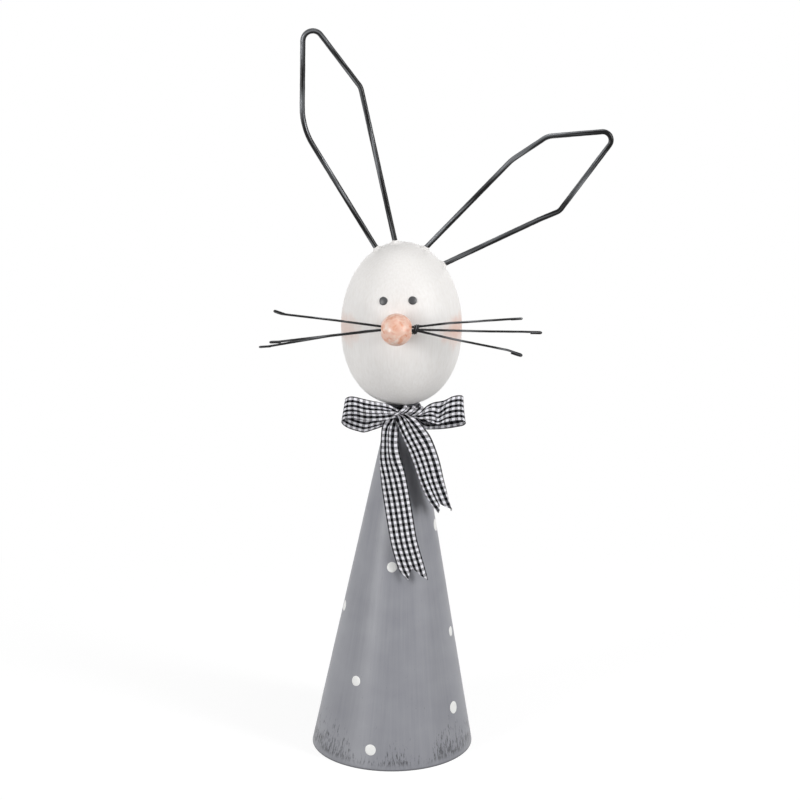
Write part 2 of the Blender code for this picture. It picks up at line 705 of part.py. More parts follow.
def main():
    for obj in list(bpy.data.objects):
        bpy.data.objects.remove(obj)
    grey = material("grey_painted_steel", (0.29, 0.29, 0.31), roughness=0.5, metallic=0.0)
    white = material("white_painted_steel", (0.85, 0.84, 0.82), roughness=0.5, metallic=0.0)
    black = material("silver_rubbed_wire", (0.05, 0.05, 0.05), roughness=0.4, metallic=0.6)
    stone = material("pink_bead", (0.75, 0.42, 0.30), roughness=0.35, metallic=0.0)
    enamel = material("eye_enamel", (0.08, 0.08, 0.08), roughness=0.4, metallic=0.0)
    gingham = material("checked_ribbon", (0.35, 0.35, 0.35), roughness=0.8, metallic=0.0)

    make_cone_body(grey)
    make_base_disc(grey)
    make_neck_weld(grey)
    make_head_shell("head_upper_shell", True, white)
    make_head_shell("head_lower_shell", False, white)
    for side, plan in EARS.items():
        make_ear(side, plan, black, white)
    make_nose_bead(stone)
    make_eye("eye_left", FACE_TURN - EYE_SPREAD, enamel)
    make_eye("eye_right", FACE_TURN + EYE_SPREAD, enamel)
    for name, plan in WHISKERS.items():
        make_whisker(name, plan, black)
    make_whisker_tie(black)
    make_neck_band(gingham)
    make_knot(gingham)
    left, right = (-KNOT_HALF_WIDTH, 0), (KNOT_HALF_WIDTH, 0)
    below = (0, -KNOT_HALF_HEIGHT)
    make_ribbon_stretch("bow_loop_left", left, LEFT_LOOP, gingham, 0, 0)
    make_ribbon_stretch("bow_loop_right", right, RIGHT_LOOP, gingham, 0, 0)
    long_cut, short_cut = (NOTCH_DEPTH, LONG_TAIL_SLANT), (NOTCH_DEPTH, SHORT_TAIL_SLANT)
    make_ribbon_stretch("ribbon_tail_long", below, LONG_TAIL, gingham, *long_cut)
    make_ribbon_stretch("ribbon_tail_short", below, SHORT_TAIL, gingham, *short_cut)


main()
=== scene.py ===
# Looks of the metal rabbit: brushed grey cone, blushed egg head, silver-rubbed wires with a painted
# highlight, bead and bow.
# Metres, +Z up, -Y the front. Shapes stand where the imported frame says.
import functools
import json
import math

import bmesh
import bpy
import numpy as np
from mathutils import Matrix, Vector, noise

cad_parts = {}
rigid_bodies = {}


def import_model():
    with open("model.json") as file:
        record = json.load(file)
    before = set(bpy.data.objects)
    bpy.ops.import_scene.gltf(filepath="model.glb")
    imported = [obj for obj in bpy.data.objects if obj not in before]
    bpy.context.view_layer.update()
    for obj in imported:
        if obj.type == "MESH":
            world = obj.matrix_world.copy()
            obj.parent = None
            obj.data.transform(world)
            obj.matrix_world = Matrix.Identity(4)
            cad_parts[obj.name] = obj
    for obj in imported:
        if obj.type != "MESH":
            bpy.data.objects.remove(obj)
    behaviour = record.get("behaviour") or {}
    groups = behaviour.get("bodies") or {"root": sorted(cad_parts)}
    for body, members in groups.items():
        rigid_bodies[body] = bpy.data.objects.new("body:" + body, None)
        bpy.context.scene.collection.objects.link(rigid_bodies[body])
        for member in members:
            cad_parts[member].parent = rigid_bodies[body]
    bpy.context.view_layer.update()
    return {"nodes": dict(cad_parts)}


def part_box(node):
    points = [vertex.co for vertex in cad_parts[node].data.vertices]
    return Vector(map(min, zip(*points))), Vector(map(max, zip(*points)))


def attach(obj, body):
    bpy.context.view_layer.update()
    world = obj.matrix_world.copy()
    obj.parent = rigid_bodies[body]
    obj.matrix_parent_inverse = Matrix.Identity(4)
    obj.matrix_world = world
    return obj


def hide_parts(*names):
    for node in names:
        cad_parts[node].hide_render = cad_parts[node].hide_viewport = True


mm = 0.001
for startup in list(bpy.data.objects):
    bpy.data.objects.remove(startup)
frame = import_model()
print("frame loaded:", len(frame["nodes"]), "nodes")


# Small helpers

def linear(hexColour):
    # sRGB hex to linear
    shades = [int(hexColour[i:i + 2], 16) / 255 for i in (1, 3, 5)]
    return (*(c / 12.92 if c <= 0.04045 else ((c + 0.055) / 1.055) ** 2.4 for c in shades), 1.0)


def feed(node, inputs):
    # An input takes a value, an output, or a node whose first live output is meant
    for name, value in inputs.items():
        if isinstance(value, bpy.types.Node):
            value = next(output for output in value.outputs if output.enabled)
        if isinstance(value, bpy.types.NodeSocket):
            node.id_data.links.new(value, node.inputs[name])
        else:
            node.inputs[name].default_value = value


def addNode(tree, kind, inputs=None, **settings):
    node = tree.nodes.new(kind)
    for name, value in settings.items():
        setattr(node, name, value)
    feed(node, inputs or {})
    return node


def startMaterial(name):
    material = bpy.data.materials.new(name)
    material.use_nodes = True
    return material, functools.partial(addNode, material.node_tree)


def endMaterial(material, inputs):
    feed(material.node_tree.nodes["Principled BSDF"], inputs)
    return material


def startTree(name, sockets):
    tree = bpy.data.node_groups.new(name, "GeometryNodeTree")
    tree.interface.new_socket("Geometry", in_out="INPUT", socket_type="NodeSocketGeometry")
    for socket, kind in sockets.items():
        tree.interface.new_socket(socket, in_out="INPUT", socket_type=f"NodeSocket{kind}")
    tree.interface.new_socket("Geometry", in_out="OUTPUT", socket_type="NodeSocketGeometry")
    return functools.partial(addNode, tree), tree.nodes.new("NodeGroupInput").outputs


def endTree(geometry, paint):
    tree = geometry.id_data
    real = addNode(tree, "GeometryNodeRealizeInstances", {"Geometry": geometry})
    smooth = addNode(tree, "GeometryNodeSetShadeSmooth", {"Geometry": real})
    painted = addNode(tree, "GeometryNodeSetMaterial", {"Geometry": smooth, "Material": paint})
    addNode(tree, "NodeGroupOutput", {"Geometry": painted})
    return tree


def settle(obj):
    # What the modifiers make becomes the object's own mesh
    graph = bpy.context.evaluated_depsgraph_get()
    mesh = bpy.data.meshes.new_from_object(obj.evaluated_get(graph))
    obj.modifiers.clear()
    obj.data = mesh
    return obj


def runTree(obj, tree, values):
    modifier = obj.modifiers.new("shape", "NODES")
    modifier.node_group = tree
    for item in tree.interface.items_tree:
        if item.in_out == "INPUT" and item.name in values:
            modifier[item.identifier] = values[item.name]
    return settle(obj)


def newObject(name, mesh, material=None):
    obj = bpy.data.objects.new(name, mesh)
    bpy.context.scene.collection.objects.link(obj)
    if material:
        mesh.materials.append(material)
    return obj


def fromGrid(name, rows, material, closedRows=False, closedColumns=False, uvs=None, caps=False):
    # A smooth mesh over rows of points, with their UVs in metres if any are given
    bm = bmesh.new()
    verts = [[bm.verts.new(point) for point in row] for row in rows]
    layer = bm.loops.layers.uv.new("flat") if uvs else None
    rowCount, columnCount = len(rows), len(rows[0])
    for i in range(rowCount if closedRows else rowCount - 1):
        for j in range(columnCount if closedColumns else columnCount - 1):
            nextI, nextJ = (i + 1) % rowCount, (j + 1) % columnCount
            face = bm.faces.new((verts[i][j], verts[i][nextJ], verts[nextI][nextJ], verts[nextI][j]))
            if uvs:
                for loop, (a, b) in zip(face.loops, ((i, j), (i, j + 1), (i + 1, j + 1), (i + 1, j))):
                    loop[layer].uv = uvs[a][b]
    if caps:
        for row in (verts[0], verts[-1]):
            bm.faces.new(row)
    bmesh.ops.remove_doubles(bm, verts=bm.verts, dist=1e-7)
    bmesh.ops.recalc_face_normals(bm, faces=bm.faces)
    mesh = bpy.data.meshes.new(name)
    bm.to_mesh(mesh)
    bm.free()
    mesh.shade_smooth()
    return newObject(name, mesh, material)


def keep(obj, slotName, *replaced):
    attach(obj, "root")
    if replaced:
        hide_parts(*replaced)
    return obj


def through(values, share):
    # The value at a share of the way through evenly counted stations, on a Catmull-Rom curve
    count = len(values) - 1
    span = min(int(share * count), count - 1)
    t = share * count - span
    before, start, end = values[max(span - 1, 0)], values[span], values[span + 1]
    after = values[min(span + 2, count)]
    square = (2 * before - 5 * start + 4 * end - after) * t * t
    cube = (3 * start - before - 3 * end + after) * t * t * t
    return 0.5 * (2 * start + (end - before) * t + square + cube)


def unevenness(point, size, seed):
    return noise.noise(Vector(point) / size + Vector((seed, 0, 0)))


def circleTurns(count):
    return [2 * math.pi * i / count for i in range(count)]


def aim(obj, place, target):
    obj.location = place
    obj.rotation_euler = (Vector(place) - Vector(target)).to_track_quat("Z", "Y").to_euler()
    return obj


# Camera: a long lens a little above the object, tilted down

camera = {"place": (5 * mm, -1.4, 0.610), "target": (5 * mm, 0, 0.221), "lens": 108.2, "sensor": 36}


def makeCamera():
    data = bpy.data.cameras.new("camera")
    data.lens = camera["lens"]
    data.sensor_width = camera["sensor"]
    bpy.context.scene.camera = aim(newObject("camera", data), camera["place"], camera["target"])


# Materials

chalk = {
    "dark": "#888990", "light": "#98999f", "hem": "#3f4044",
    "strokeWidth": 1.3 * mm, "strokeLength": 60 * mm,   # of the brush
    "blotch": 22 * mm,
    "hemWander": 9 * mm,
    "relief": 0.08 * mm,
}


def brushedSteelPaint():
    # Chalky grey paint brushed down over sheet steel: faint upright strokes, a darker dry-brushed hem
    material, add = startMaterial("grey chalk paint, brushed")
    flat = add("ShaderNodeUVMap", uv_map="flat").outputs[0]
    around, up, _ = add("ShaderNodeSeparateXYZ", {0: flat}).outputs
    brushing = add("ShaderNodeMapping", {
        0: flat, "Scale": (1 / chalk["strokeWidth"], 1 / chalk["strokeLength"], 1)})
    strokes = add("ShaderNodeTexNoise", {"Vector": brushing, "Scale": 1.0, "Detail": 3.0, "Roughness": 0.65})
    blotches = add("ShaderNodeTexNoise", {"Vector": flat, "Scale": 1 / chalk["blotch"], "Detail": 2.0})
    both = add("ShaderNodeMath", {0: strokes, 1: 0.7, 2: blotches}, operation="MULTIPLY_ADD")
    tone = add("ShaderNodeMapRange", {0: both, 1: 0.55, 2: 1.15})
    grey = add("ShaderNodeMix", {
        "Factor": tone, 6: linear(chalk["dark"]), 7: linear(chalk["light"])}, data_type="RGBA")
    # The hem: dark strokes in patches round the foot, which thin out with height
    side = add("ShaderNodeMapRange", {0: around, 1: -hem["halfWay"], 2: hem["halfWay"]})
    patches = add("ShaderNodeValToRGB", {0: side})
    patches.color_ramp.interpolation = "EASE"
    stops = patches.color_ramp.elements
    while len(stops) < len(hem["patches"]):
        stops.new(0.5)
    for stop, (bearing, share) in zip(stops, hem["patches"]):
        stop.position = bearing / 360 + 0.5
        stop.color = (share, share, share, 1)
    wander = add("ShaderNodeTexNoise", {"Vector": flat, "Scale": 1 / chalk["hemWander"], "Detail": 2.0})
    wander = add("ShaderNodeMapRange", {0: wander, 1: 0.3, 2: 0.7, 3: 0.7, 4: 1.3})
    reach = add("ShaderNodeMath", {0: patches, 1: wander}, operation="MULTIPLY")
    reach = add("ShaderNodeMath", {0: reach, 1: hem["reach"]}, operation="MULTIPLY")
    rise = add("ShaderNodeMath", {0: up, 1: reach}, operation="DIVIDE")
    dragging = add("ShaderNodeMapping", {
        0: flat, "Scale": (1 / hem["strokeWidth"], 1 / hem["strokeLength"], 1)})
    drags = add("ShaderNodeTexNoise", {"Vector": dragging, "Scale": 1.0, "Detail": 4.0, "Roughness": 0.7})
    level = add("ShaderNodeMapRange", {0: rise, 3: hem["thickAt"], 4: hem["gone"]})
    above = add("ShaderNodeMath", {0: drags, 1: level}, operation="SUBTRACT")
    dark = add("ShaderNodeMapRange", {0: above, 2: hem["softness"], 4: hem["strength"]})
    rim = add("ShaderNodeMapRange", {0: up, 1: hem["bareRim"] * 0.7, 2: hem["bareRim"] * 1.6, 3: 0.15})
    dark = add("ShaderNodeMath", {0: dark, 1: rim}, operation="MULTIPLY")
    # Painted shadow: the lowest edge is darkened in the hem colour, as the shadow where the cone meets the
    # floor
    edge = add("ShaderNodeMapRange", {0: up, 1: 0.2 * mm, 2: hem["footShadow"], 3: 0.8, 4: 0.0})
    dark = add("ShaderNodeMath", {0: dark, 1: edge}, operation="MAXIMUM")
    colour = add("ShaderNodeMix", {"Factor": dark, 6: grey, 7: linear(chalk["hem"])}, data_type="RGBA")
    gloss = add("ShaderNodeMapRange", {0: strokes, 1: 0.3, 2: 0.7, 3: 0.36, 4: 0.50})
    relief = add("ShaderNodeBump", {"Strength": 0.25, "Distance": chalk["relief"], "Height": strokes})
    return endMaterial(material, {"Base Color": colour, "Roughness": gloss, "Normal": relief})


dip = {"dark": "#74757b", "light": "#95969c", "scuff": "#47484c", "cloud": 14 * mm, "rub": 3 * mm,
       "relief": 0.1 * mm}


def dippedGreyPaint():
    # The same grey on the foot disc and the neck weld, dipped and left rough: cloudy, with bare scuffs
    material, add = startMaterial("grey chalk paint, dipped")
    place = add("ShaderNodeTexCoord").outputs["Object"]
    clouds = add("ShaderNodeTexNoise", {
        "Vector": place, "Scale": 1 / dip["cloud"], "Detail": 4.0, "Roughness": 0.6})
    grey = add("ShaderNodeMix", {
        "Factor": clouds, 6: linear(dip["dark"]), 7: linear(dip["light"])}, data_type="RGBA")
    rubbing = add("ShaderNodeTexNoise", {
        "Vector": place, "Scale": 1 / dip["rub"], "Detail": 5.0, "Roughness": 0.7})
    scuffed = add("ShaderNodeMapRange", {0: rubbing, 1: 0.6, 2: 0.7, 4: 0.7})
    colour = add("ShaderNodeMix", {"Factor": scuffed, 6: grey, 7: linear(dip["scuff"])}, data_type="RGBA")
    relief = add("ShaderNodeBump", {"Strength": 0.3, "Distance": dip["relief"], "Height": rubbing})
    return endMaterial(material, {"Base Color": colour, "Roughness": 0.6, "Normal": relief})


lacquer = {"dark": "#ece9e6", "light": "#f4f2f0", "strokeWidth": 1.1 * mm, "strokeLength": 38 * mm,
           "relief": 0.06 * mm, "mottle": 7 * mm}


def brushedLacquer():
    # Off-white satin lacquer over steel, laid on in upright strokes, with airbrushed pink cheeks
    material, add = startMaterial("off-white lacquer, brushed")
    place = add("ShaderNodeTexCoord").outputs["Object"]
    across, along = 1 / lacquer["strokeWidth"], 1 / lacquer["strokeLength"]
    strokes = add("ShaderNodeMapping", {0: place, "Scale": (across, across, along)})
    grain = add("ShaderNodeTexNoise", {"Vector": strokes, "Scale": 1.0, "Detail": 3.0, "Roughness": 0.6})
    tone = add("ShaderNodeMapRange", {0: grain, 1: 0.3, 2: 0.7})
    colour = add("ShaderNodeMix", {
        "Factor": tone, 6: linear(lacquer["dark"]), 7: linear(lacquer["light"])}, data_type="RGBA")
    mottle = add("ShaderNodeTexNoise", {"Vector": place, "Scale": 1 / lacquer["mottle"], "Detail": 2.0})
    narrow = [1 / size for size in blush["size"]]
    for cheek in blush["cheeks"]:
        centre = egg["middle"] + Vector(cheek["centre"]) * mm
        offset = add("ShaderNodeVectorMath", {0: place, 1: centre}, operation="SUBTRACT")
        scaled = add("ShaderNodeVectorMath", {0: offset, 1: narrow}, operation="MULTIPLY")
        distance = add("ShaderNodeVectorMath", {0: scaled}, operation="LENGTH")
        uneven = add("ShaderNodeMath", {0: mottle, 1: 0.7, 2: distance}, operation="MULTIPLY_ADD")
        amount = add("ShaderNodeMapRange", {
            0: uneven, 1: 0.45, 2: 1.35, 3: cheek["strength"], 4: 0.0}, interpolation_type="SMOOTHSTEP")
        colour = add("ShaderNodeMix", {
            "Factor": amount, 6: colour, 7: linear(cheek["colour"])}, data_type="RGBA")
    relief = add("ShaderNodeBump", {"Strength": 0.2, "Distance": lacquer["relief"], "Height": grain})
    return endMaterial(material, {"Base Color": colour, "Roughness": 0.5, "Normal": relief})


# The silver colour serves both the rubbed streaks and the painted highlight, which faces the light from the
# upper left front
wireCoat = {"black": "#070708", "silver": "#a6a9ad", "highlightFrom": (-0.5, -0.3, 0.8), "relief": 0.08 * mm}


def rubbedBlackPaintWithHighlight(name, rub):
    # Black paint on steel wire, rubbed with silver in long streaks, and a painted highlight: more silver is
    # laid on the side of the wire that faces the light from the upper left front
    material, add = startMaterial(name)
    space = add("ShaderNodeAttribute", attribute_name="wireSpace").outputs["Vector"]
    streaks = add("ShaderNodeMapping", {
        0: space, "Scale": (1 / rub["width"], 1 / rub["width"], 1 / rub["length"])})
    rubbing = add("ShaderNodeTexNoise", {"Vector": streaks, "Scale": 1.0, "Detail": 1.0, "Roughness": 0.5})
    # Painted highlight: how far the skin faces the light from the upper left front is added to the rub noise,
    # so silver shows on that side
    skin = add("ShaderNodeTexCoord").outputs["Normal"]
    upper = add("ShaderNodeVectorMath", {0: skin, 1: wireCoat["highlightFrom"]}, operation="DOT_PRODUCT")
    pressed = add("ShaderNodeMath", {0: upper, 1: rub["upper"], 2: rubbing}, operation="MULTIPLY_ADD")
    silver = add("ShaderNodeMapRange", {
        0: pressed, 1: rub["from"], 2: rub["from"] + rub["fade"], 4: rub["strength"]})
    colour = add("ShaderNodeMix", {
        "Factor": silver, 6: linear(wireCoat["black"]), 7: linear(wireCoat["silver"])}, data_type="RGBA")
    metal = add("ShaderNodeMath", {0: silver, 1: 0.6}, operation="MULTIPLY")
    relief = add("ShaderNodeBump", {"Strength": 0.06, "Distance": wireCoat["relief"], "Height": rubbing})
    return endMaterial(material, {
        "Base Color": colour, "Metallic": metal, "Roughness": 0.22, "Specular IOR Level": rub["gloss"],
        "Normal": relief})


stone = {
    "clouds": ((0.30, "#e6a98f"), (0.52, "#f2c8b4"), (0.72, "#f9e6da")),
    "rust": "#dd9069", "speck": "#8a5f4f",
    "cloudSize": 6 * mm, "rustSize": 4 * mm, "speckSpacing": 2.6 * mm,
    "relief": 0.05 * mm,
}


def polishedBead():
    # A tumbled, waxed stone bead: cream clouds in pink, rusty patches and a few dark specks
    material, add = startMaterial("pink stone, tumbled")
    place = add("ShaderNodeTexCoord").outputs["Object"]
    clouds = add("ShaderNodeTexNoise", {
        "Vector": place, "Scale": 1 / stone["cloudSize"], "Detail": 4.0, "Roughness": 0.6, "Distortion": 1.2})
    body = add("ShaderNodeValToRGB", {0: clouds})
    stops = body.color_ramp.elements
    stops.new(0.5)
    for stop, (position, colour) in zip(stops, stone["clouds"]):
        stop.position, stop.color = position, linear(colour)
    rust = add("ShaderNodeTexNoise", {
        "Vector": place, "Scale": 1 / stone["rustSize"], "Detail": 3.0, "Distortion": 0.6})
    rusty = add("ShaderNodeMapRange", {0: rust, 1: 0.52, 2: 0.64, 4: 0.7})
    stained = add("ShaderNodeMix", {"Factor": rusty, 6: body, 7: linear(stone["rust"])}, data_type="RGBA")
    grit = add("ShaderNodeTexVoronoi", {
        "Vector": place, "Scale": 1 / stone["speckSpacing"], "Randomness": 1.0})
    specks = add("ShaderNodeMapRange", {0: grit, 1: 0.05, 2: 0.11, 3: 0.55, 4: 0.0})
    colour = add("ShaderNodeMix", {"Factor": specks, 6: stained, 7: linear(stone["speck"])}, data_type="RGBA")
    relief = add("ShaderNodeBump", {"Strength": 0.2, "Distance": stone["relief"], "Height": clouds})
    return endMaterial(material, {
        "Base Color": colour, "Roughness": 0.3, "Specular IOR Level": 0.45, "Normal": relief})


stamped = {"dark": "#f0f0ee", "light": "#fbfbf9", "swirl": 1.5 * mm, "relief": 0.05 * mm}


def dabbedWhitePaint():
    # Thick white paint set down with a round stamp: bright, a little domed and brushed
    material, add = startMaterial("white paint, dabbed")
    place = add("ShaderNodeTexCoord").outputs["Object"]
    swirl = add("ShaderNodeTexNoise", {"Vector": place, "Scale": 1 / stamped["swirl"], "Detail": 2.0})
    white = add("ShaderNodeMix", {
        "Factor": swirl, 6: linear(stamped["dark"]), 7: linear(stamped["light"])}, data_type="RGBA")
    relief = add("ShaderNodeBump", {"Strength": 0.2, "Distance": stamped["relief"], "Height": swirl})
    return endMaterial(material, {"Base Color": white, "Roughness": 0.45, "Normal": relief})


poured = {"dark": "#333436", "light": "#4b4c4e", "dust": 0.5 * mm}


def curedEnamel():
    # Charcoal enamel dropped from a pen and left to level: soft gloss, a trace of dust
    material, add = startMaterial("charcoal enamel, poured")
    place = add("ShaderNodeTexCoord").outputs["Object"]
    dust = add("ShaderNodeTexNoise", {"Vector": place, "Scale": 1 / poured["dust"], "Detail": 2.0})
    tone = add("ShaderNodeMix", {
        "Factor": dust, 6: linear(poured["dark"]), 7: linear(poured["light"])}, data_type="RGBA")
    return endMaterial(material, {"Base Color": tone, "Roughness": 0.38})


gingham = {
    "selvedge": 0.75 * mm, "column": 1.667 * mm, "row": 1.85 * mm,
    "thread": 0.27 * mm, "warpCover": 0.82, "relief": 0.05 * mm,
    "black": "#060608", "white": "#f5f4fa", "whiteOverBlackShaded": "#66666b",
}


def wovenGingham():
    # Plain-woven polyester gingham, 0.27 mm threads: black lengthwise bands cover more than the weft, so a
    # check that crosses black is darker than one that crosses white.
    # The white weft there is also painted grey, as painted shade in the gaps between the threads
    material, add = startMaterial("gingham ribbon, woven")
    flat = add("ShaderNodeUVMap", uv_map="flat").outputs[0]
    across, along, _ = add("ShaderNodeSeparateXYZ", {0: flat}).outputs
    fromEdge = add("ShaderNodeMath", {0: across, 1: gingham["selvedge"]}, operation="SUBTRACT")
    whites, ridges = [], []
    for place, width in ((fromEdge, gingham["column"]), (along, gingham["row"])):
        pairs = add("ShaderNodeMath", {0: place, 1: 2 * width}, operation="DIVIDE")
        phase = add("ShaderNodeMath", {0: pairs}, operation="FRACT")
        whites.append(add("ShaderNodeMath", {0: phase, 1: 0.5}, operation="LESS_THAN"))
    for place in (across, along):
        turn = add("ShaderNodeMath", {0: place, 1: math.pi / gingham["thread"]}, operation="MULTIPLY")
        wave = add("ShaderNodeMath", {0: turn}, operation="SINE")
        ridges.append(add("ShaderNodeMath", {0: wave}, operation="ABSOLUTE"))
    # The selvedges on both sides are black all along
    half = ribbon["width"] / 2
    offset = add("ShaderNodeMath", {0: across, 1: half}, operation="SUBTRACT")
    offset = add("ShaderNodeMath", {0: offset}, operation="ABSOLUTE")
    inside = add("ShaderNodeMath", {0: offset, 1: half - gingham["selvedge"]}, operation="LESS_THAN")
    warpWhite = add("ShaderNodeMath", {0: whites[0], 1: inside}, operation="MULTIPLY")
    cells = add("ShaderNodeTexChecker", {0: flat, "Scale": 1 / gingham["thread"]}).outputs[1]
    over = add("ShaderNodeMath", {0: cells, 1: gingham["warpCover"]}, operation="MULTIPLY")
    white, black = linear(gingham["white"]), linear(gingham["black"])
    warp = add("ShaderNodeMix", {"Factor": warpWhite, 6: black, 7: white}, data_type="RGBA")
    # Painted shade: white weft that lies across black warp is given a grey instead of its white
    shadedWeftWhite = add("ShaderNodeMix", {
        "Factor": warpWhite, 6: linear(gingham["whiteOverBlackShaded"]), 7: white}, data_type="RGBA")
    weft = add("ShaderNodeMix", {"Factor": whites[1], 6: black, 7: shadedWeftWhite}, data_type="RGBA")
    colour = add("ShaderNodeMix", {"Factor": over, 6: weft, 7: warp}, data_type="RGBA")
    threads = add("ShaderNodeMix", {"Factor": cells, 2: ridges[1], 3: ridges[0]})
    relief = add("ShaderNodeBump", {"Strength": 0.3, "Distance": gingham["relief"], "Height": threads})
    return endMaterial(material, {
        "Base Color": colour, "Roughness": 0.7, "Specular IOR Level": 0.05, "Normal": relief})


# Cone: its size is read from the frame

def ringOf(node, height):
    # Middle and radius of a turned node's outer ring at a height
    xs = [v.co.x for v in frame["nodes"][node].data.vertices if abs(v.co.z - height) < 0.01 * mm]
    return (max(xs) + min(xs)) / 2, (max(xs) - min(xs)) / 2


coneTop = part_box("cone_body")[1].z
topShift, topRadius = ringOf("cone_body", coneTop)
footRadius = ringOf("cone_body", 0.0)[1]
meanRadius = (footRadius + topRadius) / 2
cone = {
    "wall": 0.8 * mm,
    "columns": 240,
    "rowStep": 2.0 * mm,
    "rimRadius": 0.3 * mm,
    "hammering": 0.10 * mm,   # a rolled sheet is never quite round
    "dentSize": 26 * mm,
    "seamWidth": 0.5 * mm,    # butt seam down the back, soldered and filed
    "seamDepth": 0.18 * mm,
    "seamColumns": (0.25, 0.5, 0.75, 1.0),   # extra ones on both sides of it, in degrees
}
hem = {
    "reach": 36 * mm,
    "patches": (   # bearing from the front in degrees, share of the reach
        (-180, 0.7), (-152, 0.45), (-126, 0.9), (-102, 0.65), (-85, 0.9), (-60, 1.0), (-40, 0.8),
        (-27, 0.28), (-9, 0.28), (-1, 0.68), (8, 0.62), (15, 0.25), (28, 0.25), (35, 0.9), (47, 1.05),
        (60, 0.75), (85, 0.85), (110, 0.5), (135, 0.9), (160, 0.5), (180, 0.7),
    ),
    "strokeWidth": 0.8 * mm,
    "strokeLength": 6 * mm,
    "thickAt": 0.40,
    "gone": 0.66,
    "softness": 0.11,
    "strength": 0.85,
    "bareRim": 3.0 * mm,
    "footShadow": 0.9 * mm,   # the lowest edge, painted dark as the shadow where the cone stands on the floor
    "halfWay": math.pi * meanRadius,   # from the front to the back seam
}


def coneRadius(height):
    return footRadius + (topRadius - footRadius) * height / coneTop


def coneMiddle(height):
    return Vector((topShift * height / coneTop, 0, height))


def outward(bearing):
    return Vector((math.sin(bearing), -math.cos(bearing), 0))


def makeCone(material):
    slope = math.hypot(footRadius - topRadius, coneTop)
    rows = math.ceil(slope / cone["rowStep"])
    rim = cone["rimRadius"]
    # Round the wall: height, how far in from the outer skin, slant distance from the hem
    turns = [math.pi / 2 * k / 3 for k in range(4)]
    profile = [(rim * (1 - math.cos(turn)), rim * (1 - math.sin(turn)), 0.0) for turn in turns]
    profile += [(rim + (coneTop - rim) * i / rows, 0.0, slope * i / rows) for i in range(1, rows + 1)]
    profile += [(coneTop * (1 - i / rows), cone["wall"], slope * (1 - i / rows)) for i in range(rows + 1)]
    bearings = [2 * math.pi * (j / cone["columns"] - 0.5) for j in range(cone["columns"] + 1)]
    nearSeam = [math.pi - math.radians(degrees) for degrees in cone["seamColumns"]]
    bearings = sorted(bearings + nearSeam + [-bearing for bearing in nearSeam])
    grid, uvs = [], []
    for height, inset, slant in profile:
        middle, radius = coneMiddle(height), coneRadius(height)
        row = []
        for bearing in bearings[:-1]:
            point = middle + radius * outward(bearing)
            dent = cone["hammering"] * (unevenness(point, cone["dentSize"], 3.0) - 0.5)
            fromSeam = (math.pi - abs(bearing)) * radius
            groove = cone["seamDepth"] * math.exp(-((fromSeam / cone["seamWidth"]) ** 2))
            row.append(middle + (radius - inset - groove + dent) * outward(bearing))
        grid.append(row)
        uvs.append([(bearing * meanRadius, slant) for bearing in bearings])
    uvs.append(uvs[0])
    return keep(fromGrid("painted_cone", grid, material, True, True, uvs), "grey_paint", "cone_body")


# White dabs on the cone: bearing from the front in degrees, height in mm, size. The first eight are seen
# in the photograph, the others carry the pattern round the back
dabs = {
    "places": (
        (-7.9, 123.3, 1.0), (-79.8, 91.2, 1.05), (73.4, 76.0, 1.0), (-35.9, 52.1, 1.0), (57.2, 31.2, 1.2),
        (-16.4, 12.4, 1.08), (79.0, 143.1, 1.2), (-93.2, 29.8, 1.0), (150, 112, 1.0), (-148, 132, 0.95),
        (126, 55, 1.1), (-136, 68, 1.0), (168, 30, 1.05), (-121, 12, 1.0), (118, 10, 1.1), (178, 80, 1.0),
        (-160, 172, 0.95), (108, 178, 1.0),
    ),
    "radius": 3.15 * mm,
    "height": 0.22 * mm,
    "raggedness": 0.35 * mm,
    "raggedSize": 3 * mm,
}


def dabTree():
    add, given = startTree("paint dabs", {
        "Body": "Object", "Radius": "Float", "Height": "Float", "Raggedness": "Float", "Paint": "Material"})
    body = add("GeometryNodeObjectInfo", {
        "Object": given["Body"]}, transform_space="RELATIVE").outputs["Geometry"]
    normal = add("GeometryNodeInputNormal")
    out = add("GeometryNodeSampleNearestSurface", {"Mesh": body, "Value": normal}, data_type="FLOAT_VECTOR")
    # A flat lens stands on every point and remembers how high each spot of it was
    ball = add("GeometryNodeMeshUVSphere", {"Segments": 32, "Rings": 14, "Radius": 1.0})
    flat = add("ShaderNodeCombineXYZ", {0: given["Radius"], 1: given["Radius"], 2: given["Height"]})
    lens = add("GeometryNodeTransform", {"Geometry": ball, "Scale": flat})
    local = add("ShaderNodeSeparateXYZ", {0: add("GeometryNodeInputPosition")})
    lens = add("GeometryNodeStoreNamedAttribute", {
        "Geometry": lens, "Name": "lift", "Value": local.outputs[2]}, data_type="FLOAT", domain="POINT")
    turned = add("FunctionNodeAlignRotationToVector", {"Vector": out}, axis="Z")
    size = add("GeometryNodeInputNamedAttribute", {"Name": "size"}, data_type="FLOAT")
    placed = add("GeometryNodeInstanceOnPoints", {
        "Points": given["Geometry"], "Instance": lens, "Rotation": turned, "Scale": size})
    real = add("GeometryNodeRealizeInstances", {"Geometry": placed})
    # Its outline is made ragged, and it is laid on the skin with that height above it
    wobble = add("ShaderNodeTexNoise", {"Scale": 1 / dabs["raggedSize"], "Detail": 1.0}).outputs[1]
    wobble = add("ShaderNodeVectorMath", {0: wobble, 1: (0.5, 0.5, 0.5)}, operation="SUBTRACT")
    wobble = add("ShaderNodeVectorMath", {0: wobble, "Scale": given["Raggedness"]}, operation="SCALE")
    ragged = add("GeometryNodeSetPosition", {"Geometry": real, "Offset": wobble})
    nearest = add("GeometryNodeProximity", {0: body}, target_element="FACES")
    lift = add("GeometryNodeInputNamedAttribute", {"Name": "lift"}, data_type="FLOAT")
    raised = add("ShaderNodeVectorMath", {0: out, "Scale": lift}, operation="SCALE")
    target = add("ShaderNodeVectorMath", {0: nearest, 1: raised}, operation="ADD")
    laid = add("GeometryNodeSetPosition", {"Geometry": ragged, "Position": target})
    return endTree(laid, given["Paint"])


